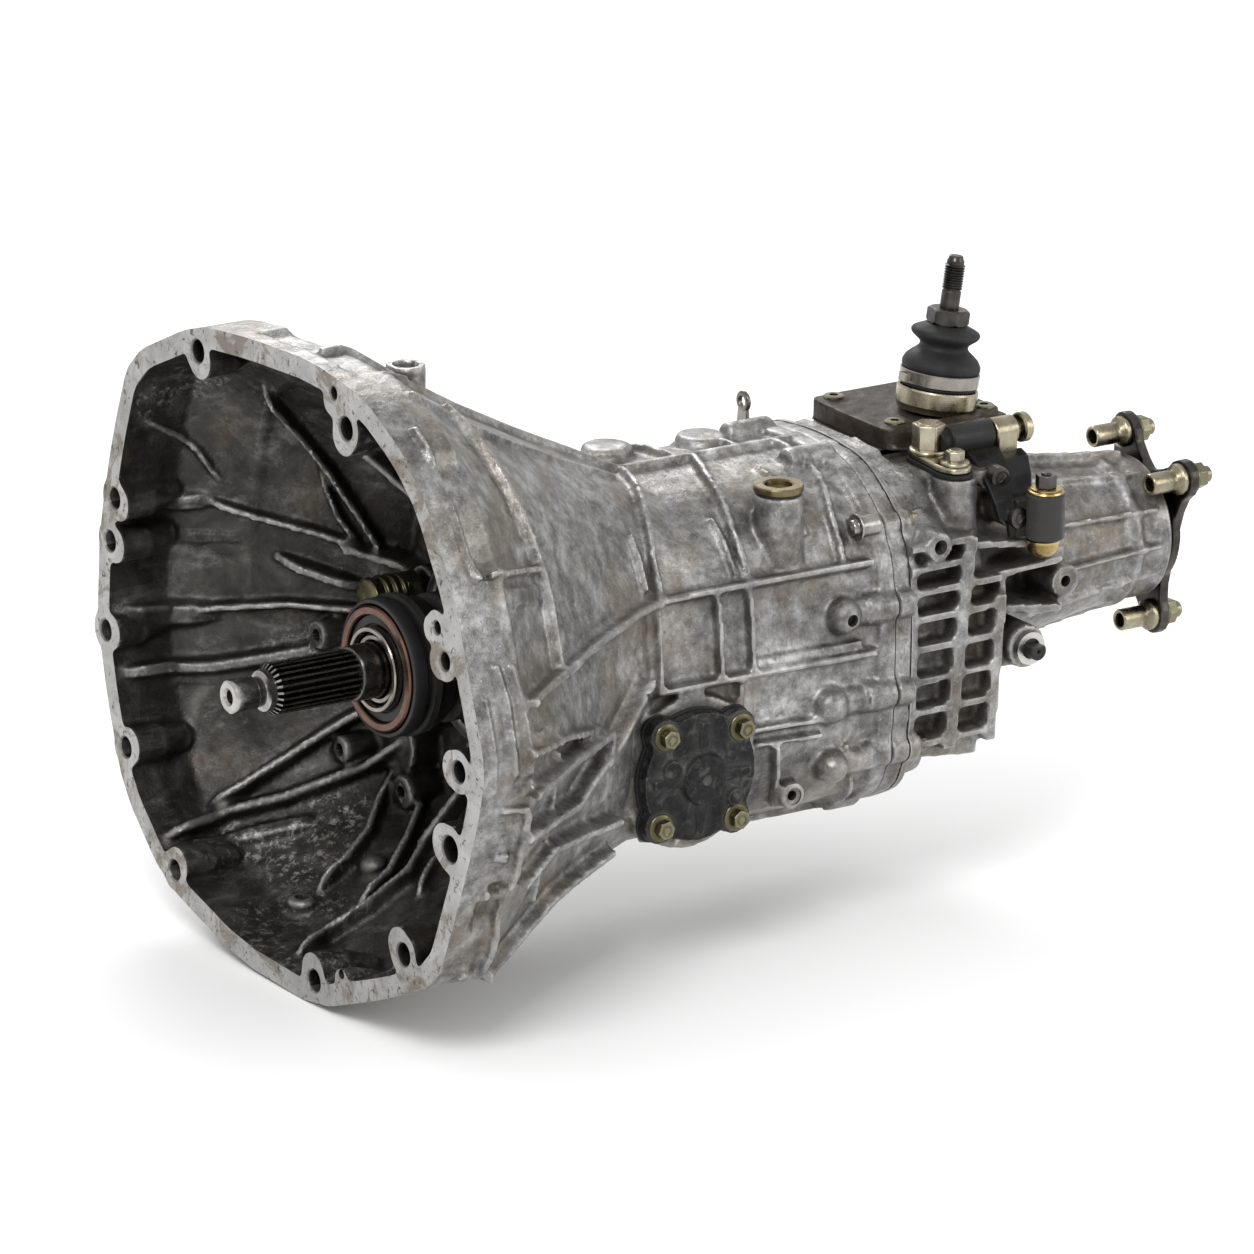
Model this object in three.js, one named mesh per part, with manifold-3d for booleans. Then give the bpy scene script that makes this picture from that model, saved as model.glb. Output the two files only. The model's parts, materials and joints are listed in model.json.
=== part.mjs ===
// A five-speed manual transmission for a car with its engine in line with the propeller shaft.
// Millimetres, +Z up. The shafts run along X: the clutch bell is at -X, the output flange at +X.
// Stations along X are measured from the machined face of the bell, and Y and Z from the main shaft axis.

import * as THREE from "three";
import { mergeVertices } from "three/addons/utils/BufferGeometryUtils.js";
import Module from "manifold-3d";

const wasm = await Module();
wasm.setup();

// ---------------------------------------------------------------- driving dimensions

const GAP = 0.3; // clearance kept between pieces that touch
const WALL = 6; // casting wall
const RING_POINTS = 36; // points round each lofted section

const RIM_DEPTH = 33; // width of the thick band behind the bell face
const RIM_STEP = 5; // how far the band stands proud of the bell
const BULKHEAD_FRONT = 148;
const BULKHEAD_BACK = 166;
const BELL_END = 186; // where the bell has narrowed to the gearcase, but for a hump on top
const HUMP_END = 222;
const CASE_END = 350;
const PLATE_END = 362; // rear face of the adapter plate
const BOX_END = 455; // rear end of the extension's wide part
const TAIL_START = 474;
const TAIL_END = 590;
const TAIL_RADIUS = 40;

const MODULE_SIZE = 3.125; // gear module
const CENTRE_DISTANCE = 62.5; // main shaft to countershaft
const ADDENDUM = 2.7;
const DEDENDUM = 3.5;
const COUNTER_Z = -CENTRE_DISTANCE;

const MAIN_RADIUS = 15; // main shaft
const SLEEVE_HALF = 11; // half the width of a synchroniser sleeve
const SLEEVE_RADIUS = 36;
const SLEEVE_BORE = 28.5;
const GROOVE_RADIUS = 32.3;
const HUB_RADIUS = 28;
const DOG_RADIUS = 27;
const DOG_WIDTH = 8;
const RAIL_Z = 62;
const RAIL_SPACING = 22;
const RAIL_RADIUS = 6;

const LEVER_X = 446; // centre of the turret collar
const LEVER_Z = 93.3; // top of the control cover
const LEVER_TILT = 8; // degrees, leaning to the rear
const PIVOT_UP = 4; // ball centre above the cover

// Outlines as (y, z). The bell face is lobed and not quite symmetrical.
const RIM = [
  [40, 193], [95, 187], [167, 152], [186, 98], [200, 40], [203, -15], [192, -61], [174, -111],
  [130, -153], [49, -177], [-36, -180], [-104, -154], [-159, -128], [-181, -72], [-197, -27],
  [-205, 9], [-188, 56], [-173, 97], [-143, 146], [-118, 168], [-80, 188], [-26, 196],
];
const CASE_SIDE = [[-94, 0], [-94, -62], [-84, -96], [-48, -114], [0, -122]];
const CASE = mirrored([[0, 90], [-45, 86], [-74, 66], [-90, 40], ...CASE_SIDE]);
const NECK = mirrored([[0, 108], [-48, 101], [-77, 74], [-91, 42], ...CASE_SIDE]);
const BOX_SIDE = [[-86, 30], [-90, -15], [-90, -70], [-62, -98], [0, -116]];
const BOX = mirrored([[0, 80], [-52, 77], [-76, 60], ...BOX_SIDE]);
const RIM_HOLES = [
  // y, z, radius
  [93, 172, 6.5], [184, 62, 6], [189, 35, 6], [194, -20, 6], [172, -85, 6],
  [118, -144, 6], [-32, -165, 6.5], [-124, -121, 6.5], [-170, -46, 7.5], [-178, 1, 6],
  [-163, 60, 5], [-155, 77, 3.5], [-62, 166, 6.5], [-49, 183, 3.5],
];

// Gear pairs: station, face width, teeth on the main axis, teeth on the countershaft.
const DRIVE = { x: 174, width: 18, main: 15, counter: 25 };
const THIRD = { x: 241, width: 16, main: 18, counter: 22 };
const SECOND = { x: 259, width: 16, main: 22, counter: 18 };
const FIRST = { x: 315, width: 17, main: 27, counter: 13 };
const REVERSE = { x: 370, width: 14, main: 25, counter: 10, idler: 14 };
const FIFTH = { x: 425, width: 12, main: 14, counter: 26 };
const SLEEVES = { "3_4": 221, "1_2": 295, "5_r": 404 };
const RAIL_Y = { "3_4": 0, "1_2": -RAIL_SPACING, "5_r": RAIL_SPACING };
const RAIL_FRONT = { "3_4": 178, "1_2": 178, "5_r": 368 };

const SIDE_COVER = { x: 207, z: -58, face: -102, radius: 34, boltRadius: 37 };
const FILLER = { x: 283, y: -74, top: 88, radius: 12.5, bore: 8 };
const SPEEDO = { x: 446, z: -25.5 };

const ALUMINIUM = finish(0xa9a8a3, 0.55, 0.75);
const DARK_IRON = finish(0x3a342e, 0.6, 0.6);
const ZINC = finish(0xb5a377, 0.4, 0.9);
const STEEL = finish(0x8d8a84, 0.32, 1);
const DARK_STEEL = finish(0x45423f, 0.4, 0.9);
const RUBBER = finish(0x141416, 0.75, 0);
const BLACK_PAINT = finish(0x1c1c1e, 0.5, 0.3);
const BRASS = finish(0x96803f, 0.35, 0.95);
const BRONZE = finish(0x6e4a3a, 0.45, 0.8);

const inner = new THREE.Group();

// ---------------------------------------------------------------- helpers

function finish(color, roughness, metalness) {
  return new THREE.MeshStandardMaterial({ color, roughness, metalness });
}

function mirrored(half) {
  const otherSide = half.filter(([y]) => y !== 0).reverse();
  return [...half, ...otherSide.map(([y, z]) => [-y, z])];
}

// Turns any closed three.js geometry into a solid for joining and cutting.
function solid(geometry) {
  const bare = geometry.index ? geometry.toNonIndexed() : geometry.clone();
  for (const name of Object.keys(bare.attributes)) {
    if (name !== "position") bare.deleteAttribute(name);
  }
  const merged = mergeVertices(bare, 1e-4);
  const position = merged.attributes.position.array;
  const faces = [];
  let volume = 0;
  const corner = [new THREE.Vector3(), new THREE.Vector3(), new THREE.Vector3()];
  for (let i = 0; i < merged.index.count; i += 3) {
    const face = [0, 1, 2].map((k) => merged.index.getX(i + k));
    if (new Set(face).size < 3) continue;
    face.forEach((v, k) => corner[k].fromArray(position, 3 * v));
    volume += corner[0].dot(corner[1].clone().cross(corner[2]));
    faces.push(face);
  }
  const outward = volume > 0 ? faces : faces.map(([a, b, c]) => [a, c, b]);
  return new wasm.Manifold(
    new wasm.Mesh({
      numProp: 3,
      vertProperties: Float32Array.from(position),
      triVerts: Uint32Array.from(outward.flat()),
    }),
  );
}

function join(...pieces) {
  return pieces.flat().reduce((sum, piece) => sum.add(piece));
}

function cut(body, ...tools) {
  return tools.flat().reduce((rest, tool) => rest.subtract(tool), body);
}

function add(name, piece, material, parent = inner) {
  const mesh = piece.asOriginal().simplify(0.02).getMesh();
  const geometry = new THREE.BufferGeometry();
  geometry.setAttribute("position", new THREE.BufferAttribute(Float32Array.from(mesh.vertProperties), 3));
  geometry.setIndex(Array.from(mesh.triVerts));
  geometry.computeVertexNormals();
  const node = new THREE.Mesh(geometry, material);
  node.name = name;
  parent.add(node);
  return node;
}

// A turned piece about X: (x, radius) pairs that start and end on the axis, or close on themselves.
function turned(profile, segments = 24) {
  const points = profile.map(([x, radius]) => new THREE.Vector2(radius, x));
  return solid(new THREE.LatheGeometry(points, segments).rotateZ(-Math.PI / 2));
}

function ring(x0, x1, outer, bore, segments = 24) {
  return turned([[x0, bore], [x0, outer], [x1, outer], [x1, bore], [x0, bore]], segments);
}

function rod(x0, x1, radius, segments = 20) {
  return turned([[x0, 0], [x0, radius], [x1, radius], [x1, 0]], segments);
}

function shapeOf(points) {
  return new THREE.Shape(points.map(([a, b]) => new THREE.Vector2(a, b)));
}

// An outline in (y, z), extruded from x0 to x1.
function slab(points, x0, x1) {
  const turn = new THREE.Matrix4().makeBasis(
    new THREE.Vector3(0, 1, 0),
    new THREE.Vector3(0, 0, 1),
    new THREE.Vector3(1, 0, 0),
  );
  const geometry = new THREE.ExtrudeGeometry(shapeOf(points), { depth: x1 - x0, bevelEnabled: false });
  return solid(geometry.applyMatrix4(turn).translate(x0, 0, 0));
}

// An outline in (x, z), extruded from y0 to y1.
function sidePlate(points, y0, y1) {
  const geometry = new THREE.ExtrudeGeometry(shapeOf(points), { depth: y1 - y0, bevelEnabled: false });
  return solid(geometry.rotateX(Math.PI / 2).translate(0, y1, 0));
}

// An outline in (x, y), extruded from z0 to z1.
function flatPlate(points, z0, z1) {
  const geometry = new THREE.ExtrudeGeometry(shapeOf(points), { depth: z1 - z0, bevelEnabled: false });
  return solid(geometry.translate(0, 0, z0));
}

function block(x0, x1, y0, y1, z0, z1) {
  const geometry = new THREE.BoxGeometry(x1 - x0, y1 - y0, z1 - z0);
  return solid(geometry.translate((x0 + x1) / 2, (y0 + y1) / 2, (z0 + z1) / 2));
}

// A round bar along one axis: "x", "y" or "z". The two other coordinates follow in alphabetical order.
function bar(axis, from, to, a, b, radius, segments = 16) {
  const geometry = new THREE.CylinderGeometry(radius, radius, to - from, segments);
  const middle = (from + to) / 2;
  if (axis === "x") return solid(geometry.rotateZ(-Math.PI / 2).translate(middle, a, b));
  if (axis === "y") return solid(geometry.translate(a, middle, b));
  return solid(geometry.rotateX(Math.PI / 2).translate(a, b, middle));
}

function hexagon(acrossFlats) {
  const radius = acrossFlats / Math.sqrt(3);
  return circlePoints(radius, 6, 0);
}

function circlePoints(radius, count, start = 0) {
  const step = (2 * Math.PI) / count;
  return Array.from({ length: count }, (_, i) => [
    radius * Math.cos(start + i * step),
    radius * Math.sin(start + i * step),
  ]);
}

function moved(points, a, b) {
  return points.map(([p, q]) => [p + a, q + b]);
}

// Distance from the axis to an outline, in the direction of an angle.
function reach(outline, angle) {
  const dir = [Math.cos(angle), Math.sin(angle)];
  let best = 0;
  outline.forEach(([y0, z0], i) => {
    const [y1, z1] = outline[(i + 1) % outline.length];
    const edge = [y1 - y0, z1 - z0];
    const cross = dir[0] * edge[1] - dir[1] * edge[0];
    if (Math.abs(cross) < 1e-9) return;
    const along = (y0 * edge[1] - z0 * edge[0]) / cross;
    const part = (y0 * dir[1] - z0 * dir[0]) / cross;
    if (along > 0 && part >= 0 && part <= 1) best = Math.max(best, along);
  });
  return best;
}

// A section as radii at equal angles, so that sections of different shapes can be blended.
function radii(outline, inset = 0) {
  const step = (2 * Math.PI) / RING_POINTS;
  return Array.from({ length: RING_POINTS }, (_, i) => reach(outline, i * step) - inset);
}

function blend(first, second, share) {
  return first.map((value, i) => value + (second[i] - value) * share);
}

function inset(section, amount) {
  return section.map((value) => value - amount);
}

// A closed skin through sections of radii, each at its station along X.
function loft(sections) {
  const position = [];
  const index = [];
  for (const [x, section] of sections) {
    section.forEach((radius, i) => {
      const angle = (2 * Math.PI * i) / RING_POINTS;
      position.push(x, radius * Math.cos(angle), radius * Math.sin(angle));
    });
  }
  for (let s = 0; s + 1 < sections.length; s += 1) {
    for (let i = 0; i < RING_POINTS; i += 1) {
      const a = s * RING_POINTS + i;
      const b = s * RING_POINTS + ((i + 1) % RING_POINTS);
      index.push(a, b, b + RING_POINTS, a, b + RING_POINTS, a + RING_POINTS);
    }
  }
  const ends = [[0, false], [sections.length - 1, true]];
  for (const [s, isLast] of ends) {
    const centre = position.length / 3;
    position.push(sections[s][0], 0, 0);
    for (let i = 0; i < RING_POINTS; i += 1) {
      const a = s * RING_POINTS + i;
      const b = s * RING_POINTS + ((i + 1) % RING_POINTS);
      index.push(...(isLast ? [centre, a, b] : [centre, b, a]));
    }
  }
  const geometry = new THREE.BufferGeometry();
  geometry.setAttribute("position", new THREE.Float32BufferAttribute(position, 3));
  geometry.setIndex(index);
  return solid(geometry);
}

// ---------------------------------------------------------------- gears

function gearOutline(teeth, phase) {
  const pitchRadius = (MODULE_SIZE * teeth) / 2;
  const tip = pitchRadius + ADDENDUM;
  const root = pitchRadius - DEDENDUM;
  const points = [];
  for (let i = 0; i < teeth; i += 1) {
    const centre = phase + (2 * Math.PI * i) / teeth;
    for (const [radius, halfWidth] of [[root, -2.7], [tip, -1], [tip, 1], [root, 2.7]]) {
      const angle = centre + halfWidth / radius;
      points.push([radius * Math.cos(angle), radius * Math.sin(angle)]);
    }
  }
  return points;
}

// The phase that puts a gear's tooth space on its mate's tooth. The mate lies in the direction of an angle.
function matingPhase(teeth, direction, mateTeeth, matePhase) {
  const mateFraction = ((direction + Math.PI - matePhase) * mateTeeth) / (2 * Math.PI);
  const fraction = 0.5 - mateFraction;
  return direction - (fraction * 2 * Math.PI) / teeth;
}

const DOWN = -Math.PI / 2;
const UP = Math.PI / 2;

function looseGear(name, pair, dogSide) {
  const bore = MAIN_RADIUS + 0.5;
  const gear = slab(gearOutline(pair.main, DOWN), pair.x, pair.x + pair.width);
  const dogStart = dogSide < 0 ? pair.x - DOG_WIDTH : pair.x + pair.width - 0.5;
  const dogRing = rod(dogStart, dogStart + DOG_WIDTH + 0.5, DOG_RADIUS);
  const hole = rod(pair.x - 20, pair.x + pair.width + 20, bore);
  add(name, cut(join(gear, dogRing), hole), STEEL);
}

function idlerPlace() {
  const toMain = (MODULE_SIZE * (REVERSE.main + REVERSE.idler)) / 2;
  const toCounter = (MODULE_SIZE * (REVERSE.counter + REVERSE.idler)) / 2;
  const z = (toCounter ** 2 - toMain ** 2 - CENTRE_DISTANCE ** 2) / (2 * CENTRE_DISTANCE);
  return [Math.sqrt(toMain ** 2 - z ** 2), z];
}

const [IDLER_Y, IDLER_Z] = idlerPlace();

function buildGearTrain() {
  looseGear("third_gear", THIRD, -1);
  looseGear("second_gear", SECOND, 1);
  looseGear("first_gear", FIRST, -1);
  looseGear("reverse_gear", REVERSE, 1);
  looseGear("fifth_gear", FIFTH, -1);

  // The idler sits beside the two shafts and turns reverse gear the other way.
  const mainToIdler = Math.atan2(IDLER_Z, IDLER_Y);
  const idlerToCounter = Math.atan2(COUNTER_Z - IDLER_Z, -IDLER_Y);
  const idlerPhase = matingPhase(REVERSE.idler, mainToIdler + Math.PI, REVERSE.main, DOWN);
  const idlerOutline = moved(gearOutline(REVERSE.idler, idlerPhase), IDLER_Y, IDLER_Z);
  const idler = slab(idlerOutline, REVERSE.x, REVERSE.x + REVERSE.width);
  const idlerEnd = REVERSE.x + REVERSE.width;
  add("idler_gear", cut(idler, bar("x", REVERSE.x - 5, idlerEnd + 5, IDLER_Y, IDLER_Z, 8.6)), STEEL);
  add("idler_shaft", bar("x", CASE_END + 1, idlerEnd + 8, IDLER_Y, IDLER_Z, 8), STEEL);

  // Countershaft: one forging with six gears.
  const cluster = [DRIVE, THIRD, SECOND, FIRST, FIFTH].map((pair) => {
    const phase = matingPhase(pair.counter, UP, pair.main, DOWN);
    const outline = moved(gearOutline(pair.counter, phase), 0, COUNTER_Z);
    return slab(outline, pair.x + 0.8, pair.x + pair.width - 0.8);
  });
  const reversePhase = matingPhase(REVERSE.counter, idlerToCounter + Math.PI, REVERSE.idler, idlerPhase);
  const reverseOutline = moved(gearOutline(REVERSE.counter, reversePhase), 0, COUNTER_Z);
  cluster.push(slab(reverseOutline, REVERSE.x, REVERSE.x + REVERSE.width));
  add("countershaft", join(bar("x", 158, 441, 0, COUNTER_Z, 12), cluster), STEEL);
}

// ---------------------------------------------------------------- shafts and bearings

function splineOutline(count, tip, root) {
  const points = [];
  const step = (2 * Math.PI) / count;
  for (let i = 0; i < count; i += 1) {
    const centre = i * step;
    points.push([root * Math.cos(centre - 0.3 * step), root * Math.sin(centre - 0.3 * step)]);
    points.push([tip * Math.cos(centre - 0.2 * step), tip * Math.sin(centre - 0.2 * step)]);
    points.push([tip * Math.cos(centre + 0.2 * step), tip * Math.sin(centre + 0.2 * step)]);
    points.push([root * Math.cos(centre + 0.3 * step), root * Math.sin(centre + 0.3 * step)]);
  }
  return points;
}

function buildInputShaft() {
  const core = turned(
    [
      [-37, 0], [-37, 8], [-35, 10], [-18, 10], [-18, 8.5], [-14, 8.5], [-12, 12.3], [45, 12.3], [45, 16],
      [148.5, 16], [148.5, 17.2], [174, 17.2], [174, 20], [192, 20], [192, DOG_RADIUS],
      [200, DOG_RADIUS], [204, 22], [204, 0],
    ],
    20,
  );
  const splines = slab(splineOutline(24, 14.6, 12.2), -11, 43);
  const driveGear = slab(gearOutline(DRIVE.main, DOWN), DRIVE.x, DRIVE.x + DRIVE.width);
  const pilotBore = rod(193, 206, 9.5);
  const centreHole = rod(-38, -31, 4, 12);
  add("input_shaft", cut(join(core, splines, driveGear), pilotBore, centreHole), STEEL);
}

function buildMainshaft() {
  const shaft = turned(
    [
      [194, 0], [194, 8.8], [206, 8.8], [206, MAIN_RADIUS], [548, MAIN_RADIUS], [548, 14.7], [592, 14.7],
      [592, 12], [604, 12], [604, 10], [621, 10], [622, 9], [622, 0],
    ],
    20,
  );
  add("mainshaft", shaft, STEEL);
  for (const [gate, x] of Object.entries(SLEEVES)) {
    add(`synchro_hub_${gate}`, ring(x - 9, x + 9, HUB_RADIUS, MAIN_RADIUS + GAP, 20), STEEL);
    const front = x - SLEEVE_HALF;
    const back = x + SLEEVE_HALF;
    const sleeve = turned(
      [
        [front, SLEEVE_BORE], [front, SLEEVE_RADIUS], [x - 4, SLEEVE_RADIUS], [x - 4, GROOVE_RADIUS],
        [x + 4, GROOVE_RADIUS], [x + 4, SLEEVE_RADIUS], [back, SLEEVE_RADIUS], [back, SLEEVE_BORE],
        [front, SLEEVE_BORE],
      ],
      20,
    );
    add(`synchro_sleeve_${gate}`, sleeve, DARK_STEEL);
  }
  const worm = turned(
    [
      [440, MAIN_RADIUS + GAP], [440, 18.5], [443, 19], [449, 19], [452, 18.5], [452, MAIN_RADIUS + GAP],
      [440, MAIN_RADIUS + GAP],
    ],
    16,
  );
  add("speedo_worm", worm, BRONZE);
}

function buildBearings() {
  add("input_bearing", ring(149, 165, 35.7, 17.6), STEEL);
  add("main_bearing", ring(347, 364, 35, MAIN_RADIUS + GAP), STEEL);
  add("tail_bearing", ring(557, 573, 26, 15), STEEL);
  add("rear_oil_seal", ring(580, 588, 26, 15), RUBBER);
  for (const [name, x0] of [["countershaft_front_bearing", 157], ["countershaft_rear_bearing", 349]]) {
    const outer = bar("x", x0, x0 + 12, 0, COUNTER_Z, 23, 20);
    add(name, cut(outer, bar("x", x0 - 1, x0 + 13, 0, COUNTER_Z, 12.3)), STEEL);
  }
}

function buildClutchRelease() {
  // The retainer's sleeve carries the release bearing, which the ring-shaped slave cylinder pushes forward.
  const retainer = turned(
    [
      [66, 17], [66, 20], [138, 20], [140, 22], [141, 48], [147.6, 48], [147.6, 30], [144, 17], [66, 17],
    ],
    24,
  );
  add("bearing_retainer", retainer, STEEL);
  add("slave_cylinder", ring(98, 140, 37, 22.5), BLACK_PAINT);
  const carrier = turned(
    [
      [71, 20.5], [71, 24], [68, 24], [68, 37.5], [72, 39], [78, 39], [80, 37], [86, 37], [86, 30], [97, 30],
      [97, 20.5], [71, 20.5],
    ],
    24,
  );
  add("release_bearing", carrier, DARK_STEEL);
  const contactRing = turned([[61, 27], [61, 33], [63, 36.5], [67.6, 36.5], [67.6, 25], [61, 27]], 24);
  add("release_ring", contactRing, BRONZE);
  const union = join(
    bar("x", 108, 147.6, 66, 18, 6, 16),
    bar("x", 96, 104, 66, 18, 11, 20),
    slab(moved(hexagon(18), 66, 18), 103.5, 112),
  );
  add("hydraulic_union", union, ZINC);
}

// ---------------------------------------------------------------- castings

function rimSkirt() {
  return slab(RIM, 0, RIM_DEPTH);
}

function buildFrontCase() {
  const rim = radii(RIM, RIM_STEP);
  const gearcase = radii(CASE);
  const neck = radii(NECK);
  const atBulkhead = blend(rim, neck, (BULKHEAD_FRONT - RIM_DEPTH) / (BELL_END - RIM_DEPTH));
  const shell = loft([
    [1, rim],
    [RIM_DEPTH, rim],
    [BELL_END, neck],
    [HUMP_END, gearcase],
    [CASE_END, gearcase],
  ]);
  const jointFlange = loft([[CASE_END - 10, radii(CASE, -4)], [CASE_END, radii(CASE, -4)]]);
  const coverBoss = bar("y", SIDE_COVER.face, -60, SIDE_COVER.x, SIDE_COVER.z, 46, 24);
  const fillerBoss = bar("z", 30, FILLER.top, FILLER.x, FILLER.y, FILLER.radius);
  const ribs = [
    block(180, CASE_END - 4, -99, -80, 37, 43), // middle rib
    block(186, CASE_END - 4, -99, -80, -15, -9), // lower rib
    block(60, CASE_END - 4, -3, 3, 60, 94), // spine along the top, trimmed to the bell below
    block(255, 261, -98, -80, -12, 40),
    block(235, 241, -98, -80, -12, 40),
  ];
  const bosses = [
    bar("y", -106, -80, 318, 14, 11),
    bar("y", -104, -80, 310, -42, 10),
    bar("y", -100, -70, 287, -90, 9),
    bar("z", 140, 174, 88, 14, 10), // breather tube on the bell
  ];
  const outside = join(rimSkirt(), shell, jointFlange, coverBoss, fillerBoss, ribs, bosses);

  const bellCavity = loft([
    [-1, radii(RIM, 19)],
    [14, radii(RIM, 17)],
    [RIM_DEPTH + 4, inset(rim, 8)],
    [BULKHEAD_FRONT, inset(atBulkhead, 10)],
  ]);
  const caseCavity = loft([[BULKHEAD_BACK, inset(gearcase, WALL)], [CASE_END + 1, inset(gearcase, WALL)]]);
  const hollow = cut(outside, bellCavity, caseCavity);

  const lobes = RIM_HOLES.map(([y, z, radius]) => bar("x", 0, 22, y, z, radius + 6, 12));
  const bearingBoss = ring(132, BULKHEAD_FRONT + 2, 60, 49, 36);
  const innerRibs = [50, 100, 150, 200, 250, 300].map((angle) => {
    const plate = new THREE.BoxGeometry(46, 46, 7).translate(BULKHEAD_FRONT - 12, 78, 0);
    return solid(plate.rotateX((angle * Math.PI) / 180));
  });
  const inside = join(hollow, lobes, bearingBoss, innerRibs.map((piece) => piece.intersect(shell)));

  const holes = RIM_HOLES.map(([y, z, radius]) => bar("x", -1, 40, y, z, radius, 10));
  const bores = [
    rod(120, 170, 36, 32),
    rod(120, BULKHEAD_FRONT, 48.5, 32),
    bar("x", 156, 170, 0, COUNTER_Z, 23.3, 24),
    bar("x", 120, 150, 66, 18, 6.4),
    bar("y", -110, -60, SIDE_COVER.x, SIDE_COVER.z, 20, 24),
    bar("z", 40, 120, FILLER.x, FILLER.y, FILLER.bore),
    bar("y", -110, -90, 318, 14, 3.5, 12),
    bar("y", -110, -86, 287, -90, 5, 12),
    bar("y", 80, 100, 230, -70, 9.4),
    ...sideCoverBoltPlaces().map(([x, z]) => bar("y", SIDE_COVER.face - 2, -84, x, z, 3.4, 12)),
  ];
  add("front_case", cut(inside, holes, bores), ALUMINIUM);
  const plugHead = sidePlate(moved(hexagon(19), 230, -70), 94.5, 101);
  add("drain_plug", join(bar("y", 84, 95, 230, -70, 9), plugHead), ZINC);
}

function buildAdapterPlate() {
  const plate = loft([[CASE_END + GAP, radii(CASE, -4)], [PLATE_END - GAP, radii(CASE, -4)]]);
  const holes = [
    rod(340, 370, 35.3, 32),
    bar("x", 340, 370, 0, COUNTER_Z, 23.3, 24),
    bar("x", 340, 370, IDLER_Y, IDLER_Z, 8.3, 16),
    ...Object.values(RAIL_Y).map((y) => bar("x", 340, 370, y, RAIL_Z, RAIL_RADIUS + 0.4, 16)),
  ];
  add("adapter_plate", cut(plate, holes), ALUMINIUM);
}

function buildExtension() {
  const box = radii(BOX);
  const tailFront = radii(circlePoints(54, 40));
  const tailBack = radii(circlePoints(TAIL_RADIUS, 40));
  const shell = loft([[PLATE_END, box], [BOX_END, box], [TAIL_START, tailFront], [TAIL_END, tailBack]]);
  const flange = loft([[PLATE_END, radii(CASE, -4)], [PLATE_END + 10, radii(CASE, -4)]]);
  const rearRim = ring(TAIL_END - 12, TAIL_END, TAIL_RADIUS + 3, 30, 28);
  const seat = block(400, 484, -40, 42, 30, 80);
  const shoulder = block(392, 430, -66, -36, 50, 80);
  const mountPad = block(398, 446, -32, 32, -120, -104);
  const bosses = [
    bar("y", -84, -50, 430, 69, 8),
    bar("y", -84, -50, 442, 53, 8),
    bar("y", -96, -60, SPEEDO.x, SPEEDO.z, 10),
    bar("y", -98, -70, 385, 46, 8),
    bar("y", -78, -30, 488, -2, 9),
  ];
  const grid = [
    ...[38, 22, 6, -10, -26, -42, -58].map((z) => block(370, 442, -96, -78, z - 1.5, z + 1.5)),
    block(406, 410, -97, -78, -70, 38),
    block(374, 566, -3, 3, -50, 50),
    block(460, 566, -48, 48, -3, 3),
  ];
  const outside = join(shell, flange, rearRim, seat, shoulder, mountPad, bosses, grid);
  const cavity = loft([
    [PLATE_END - 1, inset(box, WALL)],
    [BOX_END - 6, inset(box, WALL)],
    [TAIL_START - 2, inset(tailFront, 8)],
    [550, inset(tailBack, 8)],
  ]);
  const cuts = [
    cavity,
    rod(540, 560, 22),
    rod(556, 595, 26.3, 32),
    bar("z", 60, 90, LEVER_X - 2, 0, 17, 24),
    block(426, 462, -33, 33, 50, 76),
    bar("y", -110, -60, SPEEDO.x, SPEEDO.z, 6.2),
    bar("y", -110, -84, 385, 46, 3.5, 12),
  ];
  add("rear_extension", cut(outside, cuts), ALUMINIUM);
}

// ---------------------------------------------------------------- covers and small fittings

function sideCoverBoltPlaces() {
  return [43, 131, 223, 311].map((degrees) => {
    const angle = (degrees * Math.PI) / 180;
    return [
      SIDE_COVER.x + SIDE_COVER.boltRadius * Math.cos(angle),
      SIDE_COVER.z + SIDE_COVER.boltRadius * Math.sin(angle),
    ];
  });
}

function buildSideCover() {
  const face = SIDE_COVER.face - GAP;
  const places = sideCoverBoltPlaces();
  const plate = join(
    bar("y", face - 8, face, SIDE_COVER.x, SIDE_COVER.z, SIDE_COVER.radius, 24),
    bar("y", face - 13, face - 7, SIDE_COVER.x, SIDE_COVER.z, 22, 16),
    places.map(([x, z]) => bar("y", face - 8, face, x, z, 9, 12)),
  );
  const holes = places.map(([x, z]) => bar("y", face - 20, face + 5, x, z, 3.4, 12));
  add("side_cover", cut(plate, holes), BLACK_PAINT);
  places.forEach(([x, z], i) => {
    const bolt = join(
      bar("y", face - 10, face + 12, x, z, 3, 10),
      bar("y", face - 10.3, face - 8 - GAP, x, z, 8, 16),
      sidePlate(moved(hexagon(10), x, z), face - 16, face - 10),
    );
    add(`side_cover_bolt_${i + 1}`, bolt, ZINC);
  });
}

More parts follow.
